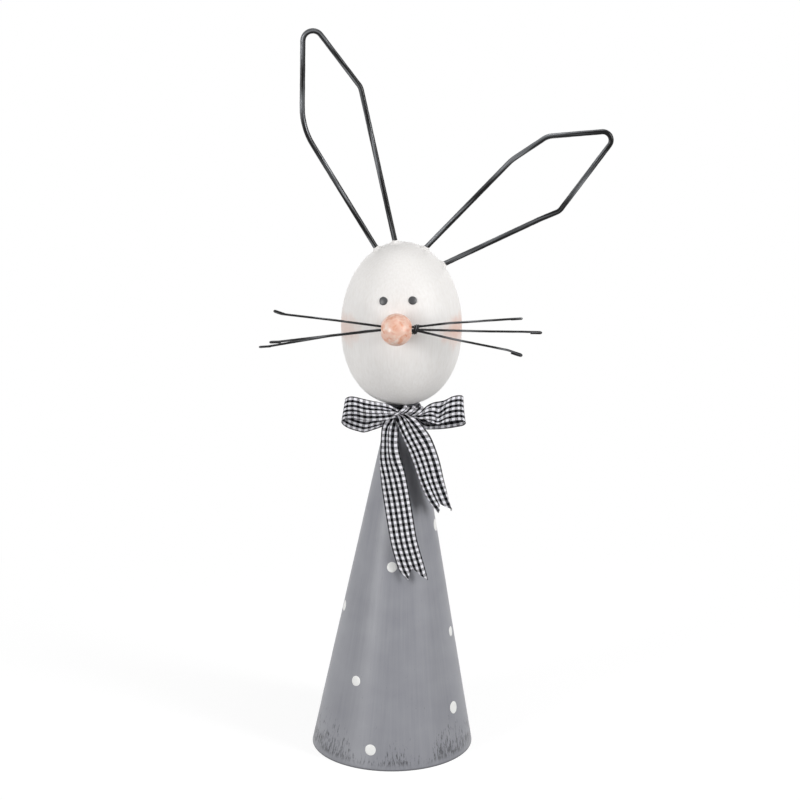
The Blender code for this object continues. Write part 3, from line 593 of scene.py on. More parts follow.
def makeDabs(body, material):
    points = []
    for bearing, height, _ in dabs["places"]:
        z = height * mm
        points.append(coneMiddle(z) + coneRadius(z) * outward(math.radians(bearing)))
    mesh = bpy.data.meshes.new("white_dabs")
    mesh.from_pydata(points, [], [])
    sizes = mesh.attributes.new("size", "FLOAT", "POINT")
    sizes.data.foreach_set("value", [size for _, _, size in dabs["places"]])
    obj = runTree(newObject("white_dabs", mesh), dabTree(), {
        "Body": body, "Radius": dabs["radius"], "Height": dabs["height"], "Raggedness": dabs["raggedness"],
        "Paint": material})
    return keep(obj, "grey_paint")


# Head: an egg whose halves are welded, ground flush and lacquered

upperLow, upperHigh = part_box("head_upper_shell")
egg = {
    "middle": Vector(((upperLow.x + upperHigh.x) / 2, 0, upperLow.z)),
    "radius": (upperHigh.x - upperLow.x) / 2,
    "crown": upperHigh.z - upperLow.z,
    "chin": upperLow.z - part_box("head_lower_shell")[0].z,
    "crownFullness": 2.0,
    "chinFullness": 2.2,
    "columns": 160,
    "rings": 64,
    "pressing": 0.10 * mm,   # shallow unevenness of a pressed and ground shell
    "pressSize": 20 * mm,
}
blush = {
    "size": (17 * mm, 30 * mm, 12.5 * mm),
    "cheeks": (   # place from the middle of the head in mm
        {"centre": (-34, -14, 2), "strength": 0.5, "colour": "#e3b7a4"},
        {"centre": (34, -14, 1), "strength": 0.62, "colour": "#e0a78f"},
    ),
}


def eggReach(above, distance):
    # How far the skin is above or below the seam, at a distance from the upright axis
    fullness = egg["crownFullness"] if above else egg["chinFullness"]
    share = min(distance / egg["radius"], 1.0)
    return (egg["crown"] if above else egg["chin"]) * (1 - share**fullness) ** (1 / fullness)


def insideEgg(point):
    offset = point - egg["middle"]
    distance = math.hypot(offset.x, offset.y)
    return distance < egg["radius"] and abs(offset.z) < eggReach(offset.z > 0, distance)


def reachToEgg(point, direction, step=0.4 * mm):
    far = 0.0
    while not insideEgg(point + far * direction):
        far += step
    near = far - step
    for _ in range(24):
        half = (near + far) / 2
        near, far = (near, half) if insideEgg(point + half * direction) else (half, far)
    return near


def onEgg(bearing, height):
    # A point of the upper skin, and the way out from it
    fullness = egg["crownFullness"]
    rise = height / egg["crown"]
    spread = (1 - rise**fullness) ** (1 / fullness)
    point = egg["middle"] + spread * egg["radius"] * outward(bearing) + Vector((0, 0, height))
    out = spread ** (fullness - 1) / egg["radius"] * outward(bearing)
    out += rise ** (fullness - 1) / egg["crown"] * Vector((0, 0, 1))
    return point, out.normalized()


def makeHead(material):
    grid = []
    for i in range(1, 2 * egg["rings"]):
        turn = math.pi * i / (2 * egg["rings"])
        above = turn < math.pi / 2
        power = 2 / (egg["crownFullness"] if above else egg["chinFullness"])
        radius = egg["radius"] * math.sin(turn) ** power
        height = (egg["crown"] if above else -egg["chin"]) * abs(math.cos(turn)) ** power
        row = []
        for bearing in circleTurns(egg["columns"]):
            point = egg["middle"] + radius * outward(bearing) + Vector((0, 0, height))
            press = egg["pressing"] * (unevenness(point, egg["pressSize"], 8.0) - 0.5)
            row.append(point + press * (point - egg["middle"]).normalized())
        grid.append(row)
    head = fromGrid("lacquered_head", grid, material, closedColumns=True, caps=True)
    return keep(head, "white_paint", "head_upper_shell", "head_lower_shell")


# Wires: ears, whiskers and the tie

def rounded(corners, radii, bendStep=math.radians(5)):
    # A polyline through the corners, with an arc of the given radius at each inner one
    path = [corners[0]]
    for before, corner, after, radius in zip(corners, corners[1:], corners[2:], radii):
        back = (before - corner).normalized()
        on = (after - corner).normalized()
        turn = math.pi - back.angle(on)
        if turn < math.radians(0.5):
            path.append(corner)
            continue
        tangent = radius * math.tan(turn / 2)
        middle = corner + (back + on).normalized() * (radius / math.cos(turn / 2))
        start = corner + tangent * back
        axis = (start - middle).cross(corner + tangent * on - middle).normalized()
        steps = max(2, math.ceil(turn / bendStep))
        for i in range(steps + 1):
            path.append(middle + Matrix.Rotation(turn * i / steps, 3, axis) @ (start - middle))
    path.append(corners[-1])
    return path


def wireTree():
    add, given = startTree("painted wire", {
        "Radius": "Float", "Sides": "Int", "Step": "Float", "Unevenness": "Float", "Lump length": "Float",
        "Paint": "Material"})
    line = add("GeometryNodeMeshToCurve", {0: given["Geometry"]})
    line = add("GeometryNodeResampleCurve", {"Curve": line, "Length": given["Step"]}, mode="LENGTH")
    lineKept = add("GeometryNodeCaptureAttribute", domain="POINT")
    lineKept.capture_items.new("FLOAT", "Along")
    along = add("GeometryNodeSplineParameter").outputs["Length"]
    feed(lineKept, {0: line, 1: along})
    circle = add("GeometryNodeCurvePrimitiveCircle", {
        "Resolution": given["Sides"], "Radius": given["Radius"]})
    roundKept = add("GeometryNodeCaptureAttribute", domain="POINT")
    roundKept.capture_items.new("VECTOR", "Round")
    feed(roundKept, {0: circle, 1: add("GeometryNodeInputPosition")})
    tube = add("GeometryNodeCurveToMesh", {"Curve": lineKept, "Profile Curve": roundKept, "Fill Caps": True})
    # The place on the wire as if it were straight, which its paint and lumps follow
    length = add("ShaderNodeCombineXYZ", {2: lineKept.outputs[1]})
    space = add("ShaderNodeVectorMath", {0: roundKept.outputs[1], 1: length}, operation="ADD")
    tube = add("GeometryNodeStoreNamedAttribute", {
        "Geometry": tube, "Name": "wireSpace", "Value": space}, data_type="FLOAT_VECTOR", domain="POINT")
    stored = add("GeometryNodeInputNamedAttribute", {"Name": "wireSpace"}, data_type="FLOAT_VECTOR")
    lumpScale = add("ShaderNodeMath", {0: 1.0, 1: given["Lump length"]}, operation="DIVIDE")
    lumps = add("ShaderNodeTexNoise", {"Vector": stored, "Scale": lumpScale, "Detail": 1.0})
    lumps = add("ShaderNodeMath", {0: lumps, 1: 0.6}, operation="SUBTRACT")
    lumps = add("ShaderNodeMath", {0: lumps, 1: given["Unevenness"]}, operation="MULTIPLY")
    normal = add("GeometryNodeInputNormal")
    push = add("ShaderNodeVectorMath", {0: normal, "Scale": lumps}, operation="SCALE")
    tube = add("GeometryNodeSetPosition", {"Geometry": tube, "Offset": push})
    return endTree(tube, given["Paint"])


wireShape = wireTree()


def makeWire(name, points, plan, material, *replaced):
    mesh = bpy.data.meshes.new(name)
    mesh.from_pydata(points, [(i, i + 1) for i in range(len(points) - 1)], [])
    obj = runTree(newObject(name, mesh), wireShape, {
        "Radius": plan["radius"], "Sides": plan["sides"], "Step": plan["step"],
        "Unevenness": plan["unevenness"], "Lump length": plan["lump"], "Paint": material})
    return keep(obj, "black_paint", *replaced)


# Ears: feet as shares of the head radius, bends as (x, z, radius) in mm from the top of the head
ears = {
    "wire": {"radius": 1.6 * mm, "sides": 20, "step": 0.8 * mm, "unevenness": 0.16 * mm, "lump": 3 * mm},
    # upper: how much silver is painted on as a highlight on the side toward the light
    "rub": {"width": 1.6 * mm, "length": 30 * mm, "from": 0.50, "fade": 0.28, "strength": 0.56,
            "upper": 0.18, "gloss": 0.2},
    "left": {"feet": (-0.40, -0.102), "bends": ((-58.3, 68.6, 42), (-56.9, 135.9, 5.8), (-23.8, 92.1, 9))},
    "right": {"feet": (0.383, 0.678), "bends": (
        (64.8, 49.3, 30), (85.6, 63.3, 10), (128.45, 66.9, 5.0), (93.4, 18.8, 6), (82.1, 14.0, 25))},
    "seat": 0.3 * mm,   # how far short of the skin each foot ends
}
weld = {
    "reach": 3.7 * mm,   # how far its skirt spreads from the middle of the wire
    "height": 2.4 * mm,
    "bore": 0.8,         # share of the wire's radius, so that it closes round the wire
    "sweep": 1.7,
    "lumps": 0.10,
    "lumpSize": 2 * mm,
    "lumpRing": 4 * mm,
    "drop": 4 * mm,      # from where its points come down onto the head
    "sunk": 0.5 * mm,
    "sides": 40,
    "rings": 12,
}


def legFoot(corner, foot):
    across = foot * egg["radius"]
    surface = egg["middle"] + Vector((across, 0, eggReach(True, abs(across))))
    down = (surface - corner).normalized()
    return corner + (reachToEgg(corner, down) - ears["seat"]) * down, down


def makeEarWeld(name, foot, down, material, replaced):
    # A fillet of weld and thick paint that sweeps from the wire out onto the head
    side = down.orthogonal().normalized()
    bore = ears["wire"]["radius"] * weld["bore"]
    grid = []
    for i in range(weld["rings"] + 1):
        rise = i / weld["rings"]
        reach = bore + (weld["reach"] - bore) * (1 - rise) ** weld["sweep"]
        row = []
        for angle in circleTurns(weld["sides"]):
            way = Matrix.Rotation(angle, 3, down) @ side
            lump = 1 + weld["lumps"] * unevenness(foot + weld["lumpRing"] * way, weld["lumpSize"], 5.0)
            point = foot + reach * lump * way - weld["drop"] * down
            landed = point + reachToEgg(point, down) * down
            row.append(landed - weld["height"] * rise**1.1 * down)
        grid.append(row)
    sunk = [point + weld["sunk"] * down for point in grid[0]]
    skirt = fromGrid(name, [sunk] + grid, material, closedColumns=True, caps=True)
    return keep(skirt, "white_paint", replaced)


def makeEar(side, wireMaterial, weldMaterial):
    plan = ears[side]
    top = egg["middle"] + Vector((0, 0, egg["crown"]))
    corners = [top + Vector((x, 0, z)) * mm for x, z, _ in plan["bends"]]
    feet = [legFoot(corner, foot) for corner, foot in zip((corners[0], corners[-1]), plan["feet"])]
    path = rounded([feet[0][0], *corners, feet[1][0]], [radius * mm for _, _, radius in plan["bends"]])
    makeWire(f"wire_ear_{side}", path, ears["wire"], wireMaterial, f"ear_wire_{side}")
    for place, (foot, down) in zip(("outer", "inner") if side == "left" else ("inner", "outer"), feet):
        makeEarWeld(f"weld_{side}_{place}", foot, down, weldMaterial, f"ear_weld_{side}_{place}")


# Face

noseLow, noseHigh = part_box("nose_bead")
nose = {
    "middle": (noseLow + noseHigh) / 2,
    "radius": (noseHigh.z - noseLow.z) / 2,
    "hole": 2.84 * mm,
    "lip": 0.4 * mm,
    "lipSteps": ((0.15 * mm, 0.1 * mm), (0.5 * mm, 0)),   # depth into the hole, how far out from it
    "columns": 96,
    "rings": 64,
    "pitting": 0.10 * mm,
    "pitSize": 3.5 * mm,
}


def makeNose(material):
    half = math.acos((nose["hole"] + nose["lip"]) / nose["radius"])
    turns = [-half + 2 * half * i / nose["rings"] for i in range(nose["rings"] + 1)]
    # Places along the hole, and how far out from it
    profile = [(nose["radius"] * math.sin(turn), nose["radius"] * math.cos(turn)) for turn in turns]
    end = profile[-1][0]
    lip = [(end - depth, nose["hole"] + out) for depth, out in nose["lipSteps"]]
    profile += lip + [(0.0, nose["hole"])] + [(-along, out) for along, out in reversed(lip)]
    grid = []
    for along, out in profile:
        pitting = nose["pitting"] if out > nose["hole"] * 1.1 else 0
        row = []
        for turn in circleTurns(nose["columns"]):
            offset = Vector((along, out * math.cos(turn), out * math.sin(turn)))
            pit = pitting * (unevenness(offset, nose["pitSize"], 2.0) - 0.5)
            row.append(nose["middle"] + offset + pit * offset.normalized())
        grid.append(row)
    return keep(fromGrid("stone_nose", grid, material, True, True), "bead", "nose_bead")


face = {"turn": math.radians(-3.75), "eyeSpread": math.radians(15.3),
        "eyeHeight": {"left": 22.4 * mm, "right": 22.9 * mm}, "eyeRadius": 2.5 * mm, "eyeDome": 0.75 * mm,
        "eyeSunk": 0.6 * mm, "eyeUneven": 0.03, "eyeRings": 14, "eyeSides": 48}


def makeEye(side, bearing, material):
    # A drop of enamel that has levelled: steep at its edge, almost flat on top
    point, out = onEgg(bearing, face["eyeHeight"][side])
    turn = out.to_track_quat("Z", "Y").to_matrix()
    grid = []
    for i in range(face["eyeRings"]):
        ring = math.pi / 2 * i / face["eyeRings"]
        rise = face["eyeDome"] * math.sin(ring) ** 0.8
        row = []
        for angle in circleTurns(face["eyeSides"]):
            x, y = math.cos(angle), math.sin(angle)
            radius = face["eyeRadius"] * math.cos(ring)
            radius *= 1 + face["eyeUneven"] * unevenness((x, y, bearing), 1.0, 1.0)
            row.append(point + turn @ Vector((radius * x, radius * y, rise)))
        grid.append(row)
    back = [edge - face["eyeSunk"] * out for edge in grid[0]]
    eye = fromGrid(f"enamel_eye_{side}", [back] + grid, material, closedColumns=True, caps=True)
    return keep(eye, "enamel", f"eye_{side}")


# Whiskers: bearing of each wire in the bundle, and how far above the middle of the bead, in mm, it leaves
# the tie. Its runs are its left and right corners beyond the bead as (x, z) in mm, and its folds are
# the side that a tip is folded to as (y, z), with the gap between its strands in mm
whiskers = {
    "wire": {"radius": 0.69 * mm, "sides": 12, "step": 0.35 * mm, "unevenness": 0.10 * mm, "lump": 1.6 * mm},
    # upper: how much silver is painted on as a highlight on the side toward the light
    "rub": {"width": 0.9 * mm, "length": 14 * mm, "from": 0.56, "fade": 0.18, "strength": 0.65,
            "upper": 0.08, "gloss": 0.3},
    "space": 0.5 * mm,
    "bend": 12 * mm,
    "foldLength": 5.5 * mm,
    "foldSteps": 12,
    "each": {
        "upper": {"bearing": 0, "lift": 0.9, "folds": ((-0.8, 0.6, 0.1), (-1.0, 0.1, 0.1)), "runs": (
            ((-0.1, 2.2), (-25.7, 5.7), (-57.1, 9.5), (-60.5, 10.7)),
            ((20.8, 4.0), (57.4, 6.5), (62.3, 6.8)))},
        "middle": {"bearing": -120, "lift": 0.9, "folds": ((-1.0, 0.0, 0.1), (-1.0, -0.2, 0.1)), "runs": (
            ((-0.1, 0.4), (-29.3, -3.2), (-58.7, -6.8), (-62.9, -6.9)),
            ((39.6, -0.6), (64.3, -0.9), (73.6, -1.1)))},
        "lower": {"bearing": 120, "lift": -0.4, "folds": ((1.0, -0.3, 0.1), (0.6, -0.8, 0.1)), "runs": (
            ((-0.1, -0.5), (-29.3, -3.9), (-65.0, -10.1), (-69.2, -10.4)),
            ((24.6, -6.0), (55.1, -12.3), (62.8, -14.9)))},
    },
}
tie = {
    "wire": {"radius": 0.48 * mm, "sides": 12, "step": 0.25 * mm, "unevenness": 0.12 * mm, "lump": 1.2 * mm},
    "turns": 3,
    "pitch": 1.0 * mm,
    "seat": -0.2 * mm,
    "swell": 0.3 * mm,
    "slant": 0.9 * mm,
    "raised": 0.3 * mm,
    "pointsPerTurn": 40,
}
bundleRadius = (2 * whiskers["wire"]["radius"] + whiskers["space"]) / math.sqrt(3)
tieEnd = nose["radius"] + tie["seat"] + tie["wire"]["radius"] + tie["turns"] * tie["pitch"]


def foldedTip(end, before, fold):
    # The half circle and the short return of a wire folded back on itself
    y, z, gap = fold
    along = (end - before).normalized()
    side = Vector((0, y, z))
    side = (side - side.dot(along) * along).normalized()
    radius = whiskers["wire"]["radius"] + gap * mm / 2
    middle = end + radius * side
    turns = [math.pi * i / whiskers["foldSteps"] for i in range(1, whiskers["foldSteps"] + 1)]
    points = [middle + radius * (math.sin(turn) * along - math.cos(turn) * side) for turn in turns]
    return points + [points[-1] - whiskers["foldLength"] * along]


def makeWhisker(name, plan, material):
    bearing = math.radians(plan["bearing"])
    bundle = bundleRadius * Vector((0, math.sin(bearing), math.cos(bearing)))
    sides = []
    for way, run in zip((-1, 1), plan["runs"]):
        start = nose["middle"] + Vector((way * nose["radius"], bundle.y, 0))
        sides.append([start + Vector((x, 0, z)) * mm for x, z in run])
    level = nose["middle"] + bundle
    corners = sides[0][::-1] + [level, level + Vector((tieEnd, 0, plan["lift"] * mm))] + sides[1]
    path = rounded(corners, [whiskers["bend"]] * (len(corners) - 2))
    start = foldedTip(path[0], path[1], plan["folds"][0])[::-1]
    end = foldedTip(path[-1], path[-2], plan["folds"][1])
    makeWire(f"whisker_{name}", start + path + end, whiskers["wire"], material, f"whisker_wire_{name}")


def makeTie(material):
    # Turns side by side, drawn aslant and piled up in their middle, as a hand winds them
    radius = bundleRadius + whiskers["wire"]["radius"] + tie["wire"]["radius"]
    count = tie["turns"] * tie["pointsPerTurn"]
    points = []
    for share in (i / count for i in range(count + 1)):
        angle = 2 * math.pi * tie["turns"] * share
        out = radius + tie["swell"] * math.sin(math.pi * share)
        along = tieEnd - share * tie["turns"] * tie["pitch"] + tie["slant"] * math.cos(angle)
        offset = Vector((along, out * math.sin(angle), out * math.cos(angle) + tie["raised"]))
        points.append(nose["middle"] + offset)
    makeWire("wire_tie", points, tie["wire"], material, "whisker_tie")


# Ribbon: 16.5 mm of gingham. Each station of a stretch is one edge, the middle and the other edge in mm
# from the middle of the knot. Where the edges are closer than its width, the cloth gathers into pleats
ribbon = {"width": 16.5 * mm, "thickness": 0.3 * mm, "rowStep": 0.7 * mm, "columns": 40, "room": 0.25 * mm}
knotLow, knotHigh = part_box("bow_knot")
knotMiddle = (knotLow + knotHigh) / 2
bow = {
    "bow_left": {
        "standsFor": "bow_loop_left", "restsOn": ["bow_wrap"], "waves": 5,
        "stations": (
            ((-3.0, -2.5, 0.1), (-2.1, -2.5, -0.9), (-1.2, -2.5, -1.9)),
            ((-5.9, -3.1, 3.1), (-4.9, -3.9, 0.2), (-3.5, -3.1, -2.5)),
            ((-8.9, -3.0, 5.1), (-8.0, -4.5, 0.3), (-6.8, -3.3, -3.5)),
            ((-13.1, -2.8, 6.0), (-12.2, -4.5, 0.7), (-11.0, -3.3, -4.7)),
            ((-17.9, -2.5, 6.8), (-17.3, -3.7, 0.6), (-16.4, -2.5, -5.4)),
            ((-22.6, -3.5, 8.2), (-22.3, -4.8, 1.5), (-21.8, -0.3, -5.8)),
            ((-27.4, -4.5, 9.8), (-27.4, -4.7, 2.8), (-27.2, -0.1, -5.2)),
            ((-30.6, -4.8, 10.4), (-31.3, -3.9, 2.8), (-31.4, 0.5, -5.2)),
            ((-33.0, -3.4, 9.3), (-34.0, -1.5, 1.5), (-35.2, 2.2, -6.5)),
            ((-33.8, -1.1, 7.3), (-35.1, 1.2, -0.8), (-36.4, 4.4, -8.9)),
            ((-32.6, 1.4, 4.7), (-33.6, 3.8, -3.2), (-34.7, 6.7, -11.7)),
            ((-28.7, 3.2, 2.4), (-30.0, 5.6, -5.6), (-31.3, 8.1, -13.9)),
            ((-24.4, 3.9, 0.9), (-25.6, 6.1, -7.2), (-26.8, 8.1, -15.1)),
            ((-20.2, 4.1, -0.0), (-21.3, 5.9, -8.0), (-22.7, 7.6, -15.7)),
            ((-15.6, 4.0, 0.1), (-16.5, 4.5, -6.9), (-17.6, 4.7, -13.3)),
            ((-11.3, 2.7, 0.0), (-11.4, 3.1, -5.7), (-12.2, 3.3, -10.9)),
            ((-7.1, 1.7, -0.5), (-7.2, 1.9, -4.4), (-7.2, 1.9, -7.8)),
            ((-3.0, 0.5, -1.2), (-2.7, 0.5, -2.8), (-2.4, 0.5, -4.3)),
        ),
    },
    "bow_right": {
        "standsFor": "bow_loop_right", "restsOn": ["bow_wrap"], "waves": 5,
        "stations": (
            ((6.6, -2.0, -1.0), (7.2, -2.3, -2.0), (7.8, -2.0, -3.1)),
            ((10.2, -2.5, -0.7), (10.5, -3.5, -2.2), (10.8, -2.5, -4.4)),
            ((12.6, -2.5, 1.8), (12.9, -4.0, -1.3), (13.5, -2.5, -5.6)),
            ((15.6, -2.0, 4.2), (15.8, -4.3, -0.5), (16.2, -3.0, -6.9)),
            ((18.9, -1.5, 5.6), (18.8, -3.8, -0.7), (18.9, -3.3, -7.5)),
            ((22.1, -1.0, 6.1), (21.2, -2.3, -2.2), (21.3, -3.3, -7.8)),
            ((24.8, -2.0, 6.9), (23.6, -2.3, -1.2), (23.9, -3.1, -7.4)),
            ((27.4, -3.3, 8.5), (26.3, -4.2, 1.3), (26.6, -2.5, -6.9)),
            ((29.9, -3.4, 9.9), (29.3, -4.2, 2.3), (29.6, -2.1, -6.4)),
            ((32.8, -2.5, 10.5), (32.6, -3.2, 2.6), (33.2, -1.5, -6.2)),
            ((35.4, -0.7, 10.0), (35.5, -0.9, 1.9), (36.3, 0.2, -6.8)),
            ((36.6, 2.0, 8.1), (37.1, 1.9, -0.0), (38.2, 2.5, -8.4)),
            ((35.9, 3.9, 5.7), (35.9, 4.5, -2.5), (36.9, 5.5, -10.9)),
            ((32.4, 5.1, 4.2), (31.9, 6.0, -4.0), (32.3, 7.1, -12.3)),
            ((27.6, 5.4, 3.3), (27.4, 6.2, -4.9), (27.5, 7.1, -13.0)),
            ((22.8, 5.0, 2.5), (22.9, 5.6, -5.3), (22.9, 6.4, -13.2)),
            ((18.0, 2.5, 2.3), (18.1, 4.5, -5.8), (18.1, 6.5, -13.4)),
            ((13.2, 2.7, 0.4), (13.2, 2.9, -5.9), (13.3, 3.1, -11.8)),
            ((7.8, 0.5, -0.9), (7.8, 0.5, -3.1), (7.8, 0.5, -5.6)),
        ),
    },
    "tail_long": {
        "standsFor": "ribbon_tail_long", "restsOn": ["bow_wrap", "painted_cone"], "waves": 3, "notch": 9.5,
        "stations": (
            ((-6.5, 1.0, -2.3), (-4.7, -0.5, -2.5), (-2.4, -0.5, -3.1)),
            ((-9.6, 3.5, -8.0), (-7.4, -3.0, -6.4), (-2.4, -3.0, -6.7)),
            ((-11.1, 4.0, -13.1), (-9.1, -3.0, -11.4), (-2.1, -3.5, -11.6)),
            ((-11.9, 3.5, -22.4), (-9.5, -3.3, -20.7), (-2.1, -4.5, -20.6)),
            ((-13.1, 1.5, -31.2), (-8.7, -3.5, -30.0), (-0.3, -5.5, -28.8)),
            ((-12.8, -2.5, -41.3), (-6.0, -6.5, -39.4), (2.4, -6.8, -38.1)),
            ((-11.8, -5.6, -53.5), (-3.3, -8.3, -52.0), (5.3, -9.0, -50.4)),
            ((-10.2, -7.9, -65.6), (-1.3, -10.2, -64.0), (7.6, -11.2, -62.1)),
            ((-7.8, -10.6, -79.4), (1.1, -13.0, -77.8), (10.0, -13.9, -75.9)),
            ((-4.2, -12.9, -90.2), (4.4, -14.9, -89.6), (12.3, -15.2, -87.2)),
            ((-0.9, -14.0, -97.2), (7.0, -15.3, -97.1), (14.0, -15.3, -94.8)),
            ((4.4, -14.9, -102.2), (10.0, -15.5, -103.2), (15.6, -15.3, -101.7)),
        ),
    },
    "tail_short": {
        "standsFor": "ribbon_tail_short", "restsOn": ["bow_wrap"], "waves": 3, "notch": 8.0,
        "stations": (
            ((-2.1, -4.0, -2.4), (-1.5, -4.5, -1.6), (-0.6, -5.0, -0.7)),
            ((-2.2, -4.5, -4.4), (0.1, -6.0, -2.5), (4.3, -6.3, -1.0)),
            ((-1.9, -4.5, -7.5), (1.4, -6.5, -4.2), (8.0, -6.7, -2.9)),
            ((-0.9, -4.5, -11.3), (3.3, -6.5, -7.6), (11.1, -6.8, -5.8)),
            ((0.5, -4.5, -15.0), (5.2, -6.5, -11.3), (13.7, -6.5, -9.1)),
            ((2.1, -4.5, -19.4), (7.7, -6.5, -16.0), (16.9, -6.0, -14.0)),
            ((4.5, -5.0, -25.5), (11.0, -7.0, -22.4), (19.9, -5.5, -21.1)),
            ((7.5, -5.5, -33.5), (14.1, -7.5, -31.0), (22.7, -5.0, -30.4)),
            ((11.2, -6.5, -43.8), (17.4, -8.3, -42.0), (25.0, -4.5, -41.3)),
            ((15.7, -8.0, -53.4), (21.7, -9.0, -52.5), (27.6, -4.0, -52.2)),
            ((22.3, -9.0, -61.3), (26.8, -8.5, -62.4), (29.7, -2.5, -62.2)),
        ),
    },
}


@functools.cache
def pleatedSection(share, waves):
    # Places across a gathered ribbon and their depths, as shares of its flat width, evenly spaced
    # along the cloth
    at = np.linspace(0, 1, 241)

    def section(depth):
        xs, ys = share * (at - 0.5), depth * np.sin(np.pi * waves * at)
        lengths = np.concatenate([[0], np.cumsum(np.hypot(np.diff(xs), np.diff(ys)))])
        return xs, ys, lengths

    shallow, deep = 0.0, 1.0
    for _ in range(30):
        depth = (shallow + deep) / 2
        shallow, deep = (shallow, depth) if section(depth)[2][-1] > 1 else (depth, deep)
    xs, ys, lengths = section(shallow if share < 0.999 else 0.0)
    even = np.linspace(0, lengths[-1], ribbon["columns"] + 1)
    return np.interp(even, lengths, xs).tolist(), np.interp(even, lengths, ys).tolist()


def clearOfBody(point):
    # The point, moved where it would come too near to the head or the cone
    offset = point - egg["middle"]
    distance = math.hypot(offset.x, offset.y)
    ceiling = egg["middle"].z - eggReach(False, distance) - ribbon["room"]
    if distance < egg["radius"] and offset.z < 0:
        point = Vector((point.x, point.y, min(point.z, ceiling)))
    if 0 < point.z < coneTop:
        away = point - coneMiddle(point.z)
        least = coneRadius(point.z) + ribbon["room"]
        if away.length < least:
            point = coneMiddle(point.z) + least * away.normalized()
    return point


def makeSheet(name, rows, uvs, material, replaced, closed=False):
    sheet = fromGrid(name, rows, material, closedRows=closed, uvs=uvs)
    cloth = sheet.modifiers.new("cloth", "SOLIDIFY")
    cloth.thickness = ribbon["thickness"]
    cloth.offset = 0.0
    settle(sheet)
    keep(sheet, "ribbon", replaced)
    return sheet


def makeTurn(name, rows, travelled, length, material, replaced):
    # A ribbon that closes on itself: travelled is how far along it each row lies
    acrossFlat = [ribbon["width"] * j / ribbon["columns"] for j in range(ribbon["columns"] + 1)]
    uvs = [[(u, v) for u in acrossFlat] for v in (*travelled, length)]
    return makeSheet(name, rows, uvs, material, replaced, closed=True)


def acrossStation(edges, share):
    # The point at a share of the way from one edge through the middle to the other
    first, middle, last = edges
    curve = first * (1 - share) * (1 - 2 * share) + last * share * (2 * share - 1)
    return curve + middle * 4 * share * (1 - share)


def makeStretch(name, plan, material, samples=400, stepAlong=0.01, stepAcross=0.02):
    stations = [[knotMiddle + Vector(point) * mm for point in station] for station in plan["stations"]]
    rails = list(zip(*stations))
    fine = [through(rails[1], i / samples) for i in range(samples + 1)]
    lengths = np.concatenate([[0], np.cumsum([(b - a).length for a, b in zip(fine, fine[1:])])])
    length, width = lengths[-1], ribbon["width"]
    rowCount = math.ceil(length / ribbon["rowStep"])
    notch = plan.get("notch", 0) * mm
    rows, uvs = [], []
    for i in range(rowCount + 1):
        row, rowUvs = [], []
        for j in range(ribbon["columns"] + 1):
            cut = notch * (1 - abs(2 * j / ribbon["columns"] - 1))
            travelled = i / rowCount * (length - cut)
            at = float(np.interp(travelled, lengths, np.linspace(0, 1, samples + 1)))
            edges = [through(rail, at) for rail in rails]
            behind, beyond = max(at - stepAlong, 0), min(at + stepAlong, 1)
            ahead = [through(rail, beyond) - through(rail, behind) for rail in rails]
            reach = (edges[1] - edges[0]).length + (edges[2] - edges[1]).length
            xs, ys = pleatedSection(round(min(reach / width, 1.0), 2), plan["waves"])
            share = min(max(xs[j] * width / reach + 0.5, 0), 1)
            left, right = max(share - stepAcross, 0), min(share + stepAcross, 1)
            side = acrossStation(edges, right) - acrossStation(edges, left)
            out = acrossStation(ahead, share).cross(side).normalized()
            row.append(clearOfBody(acrossStation(edges, share) + width * ys[j] * out))
            rowUvs.append((width * j / ribbon["columns"], travelled))
        rows.append(row)
        uvs.append(rowUvs)
    return makeSheet(name, rows, uvs, material, plan["standsFor"])


band = {"drop": 1.2 * mm, "height": 7.2 * mm, "middle": 1.6 * mm, "waves": 5, "columns": 160,
        "pleatDepth": 0.8, "sway": 0.25, "swayTurns": 3}


def makeBand(material):
    xs, ys = pleatedSection(round(band["height"] / ribbon["width"], 2), band["waves"])
    top = coneTop - band["drop"]
    around = 2 * math.pi * (coneRadius(top) + band["middle"])
    grid, travelled = [], []
    for i, bearing in enumerate(circleTurns(band["columns"])):
        sway = 1 + band["sway"] * math.sin(band["swayTurns"] * bearing)
        row = []
        for x, y in zip(xs, ys):
            height = top - band["height"] / 2 + x * ribbon["width"]
            depth = band["middle"] + y * ribbon["width"] * band["pleatDepth"] * sway
            radius = coneRadius(height) + max(depth, ribbon["room"])
            row.append(coneMiddle(height) + radius * outward(bearing))
        grid.append(row)
        travelled.append(around * i / band["columns"])
    return makeTurn("ribbon_round_neck", grid, travelled, around, material, "ribbon_neck_band")


wrap = {
    "middle": (3.1, 0.4, -0.3), "slope": math.radians(33), "lean": math.radians(-5),
    "halfLength": 4.3 * mm, "halfDepth": 4.9 * mm, "spread": 0.46, "pleatDepth": 0.7,
    "waist": 1.8 * mm, "waves": 5, "columns": 120,
}


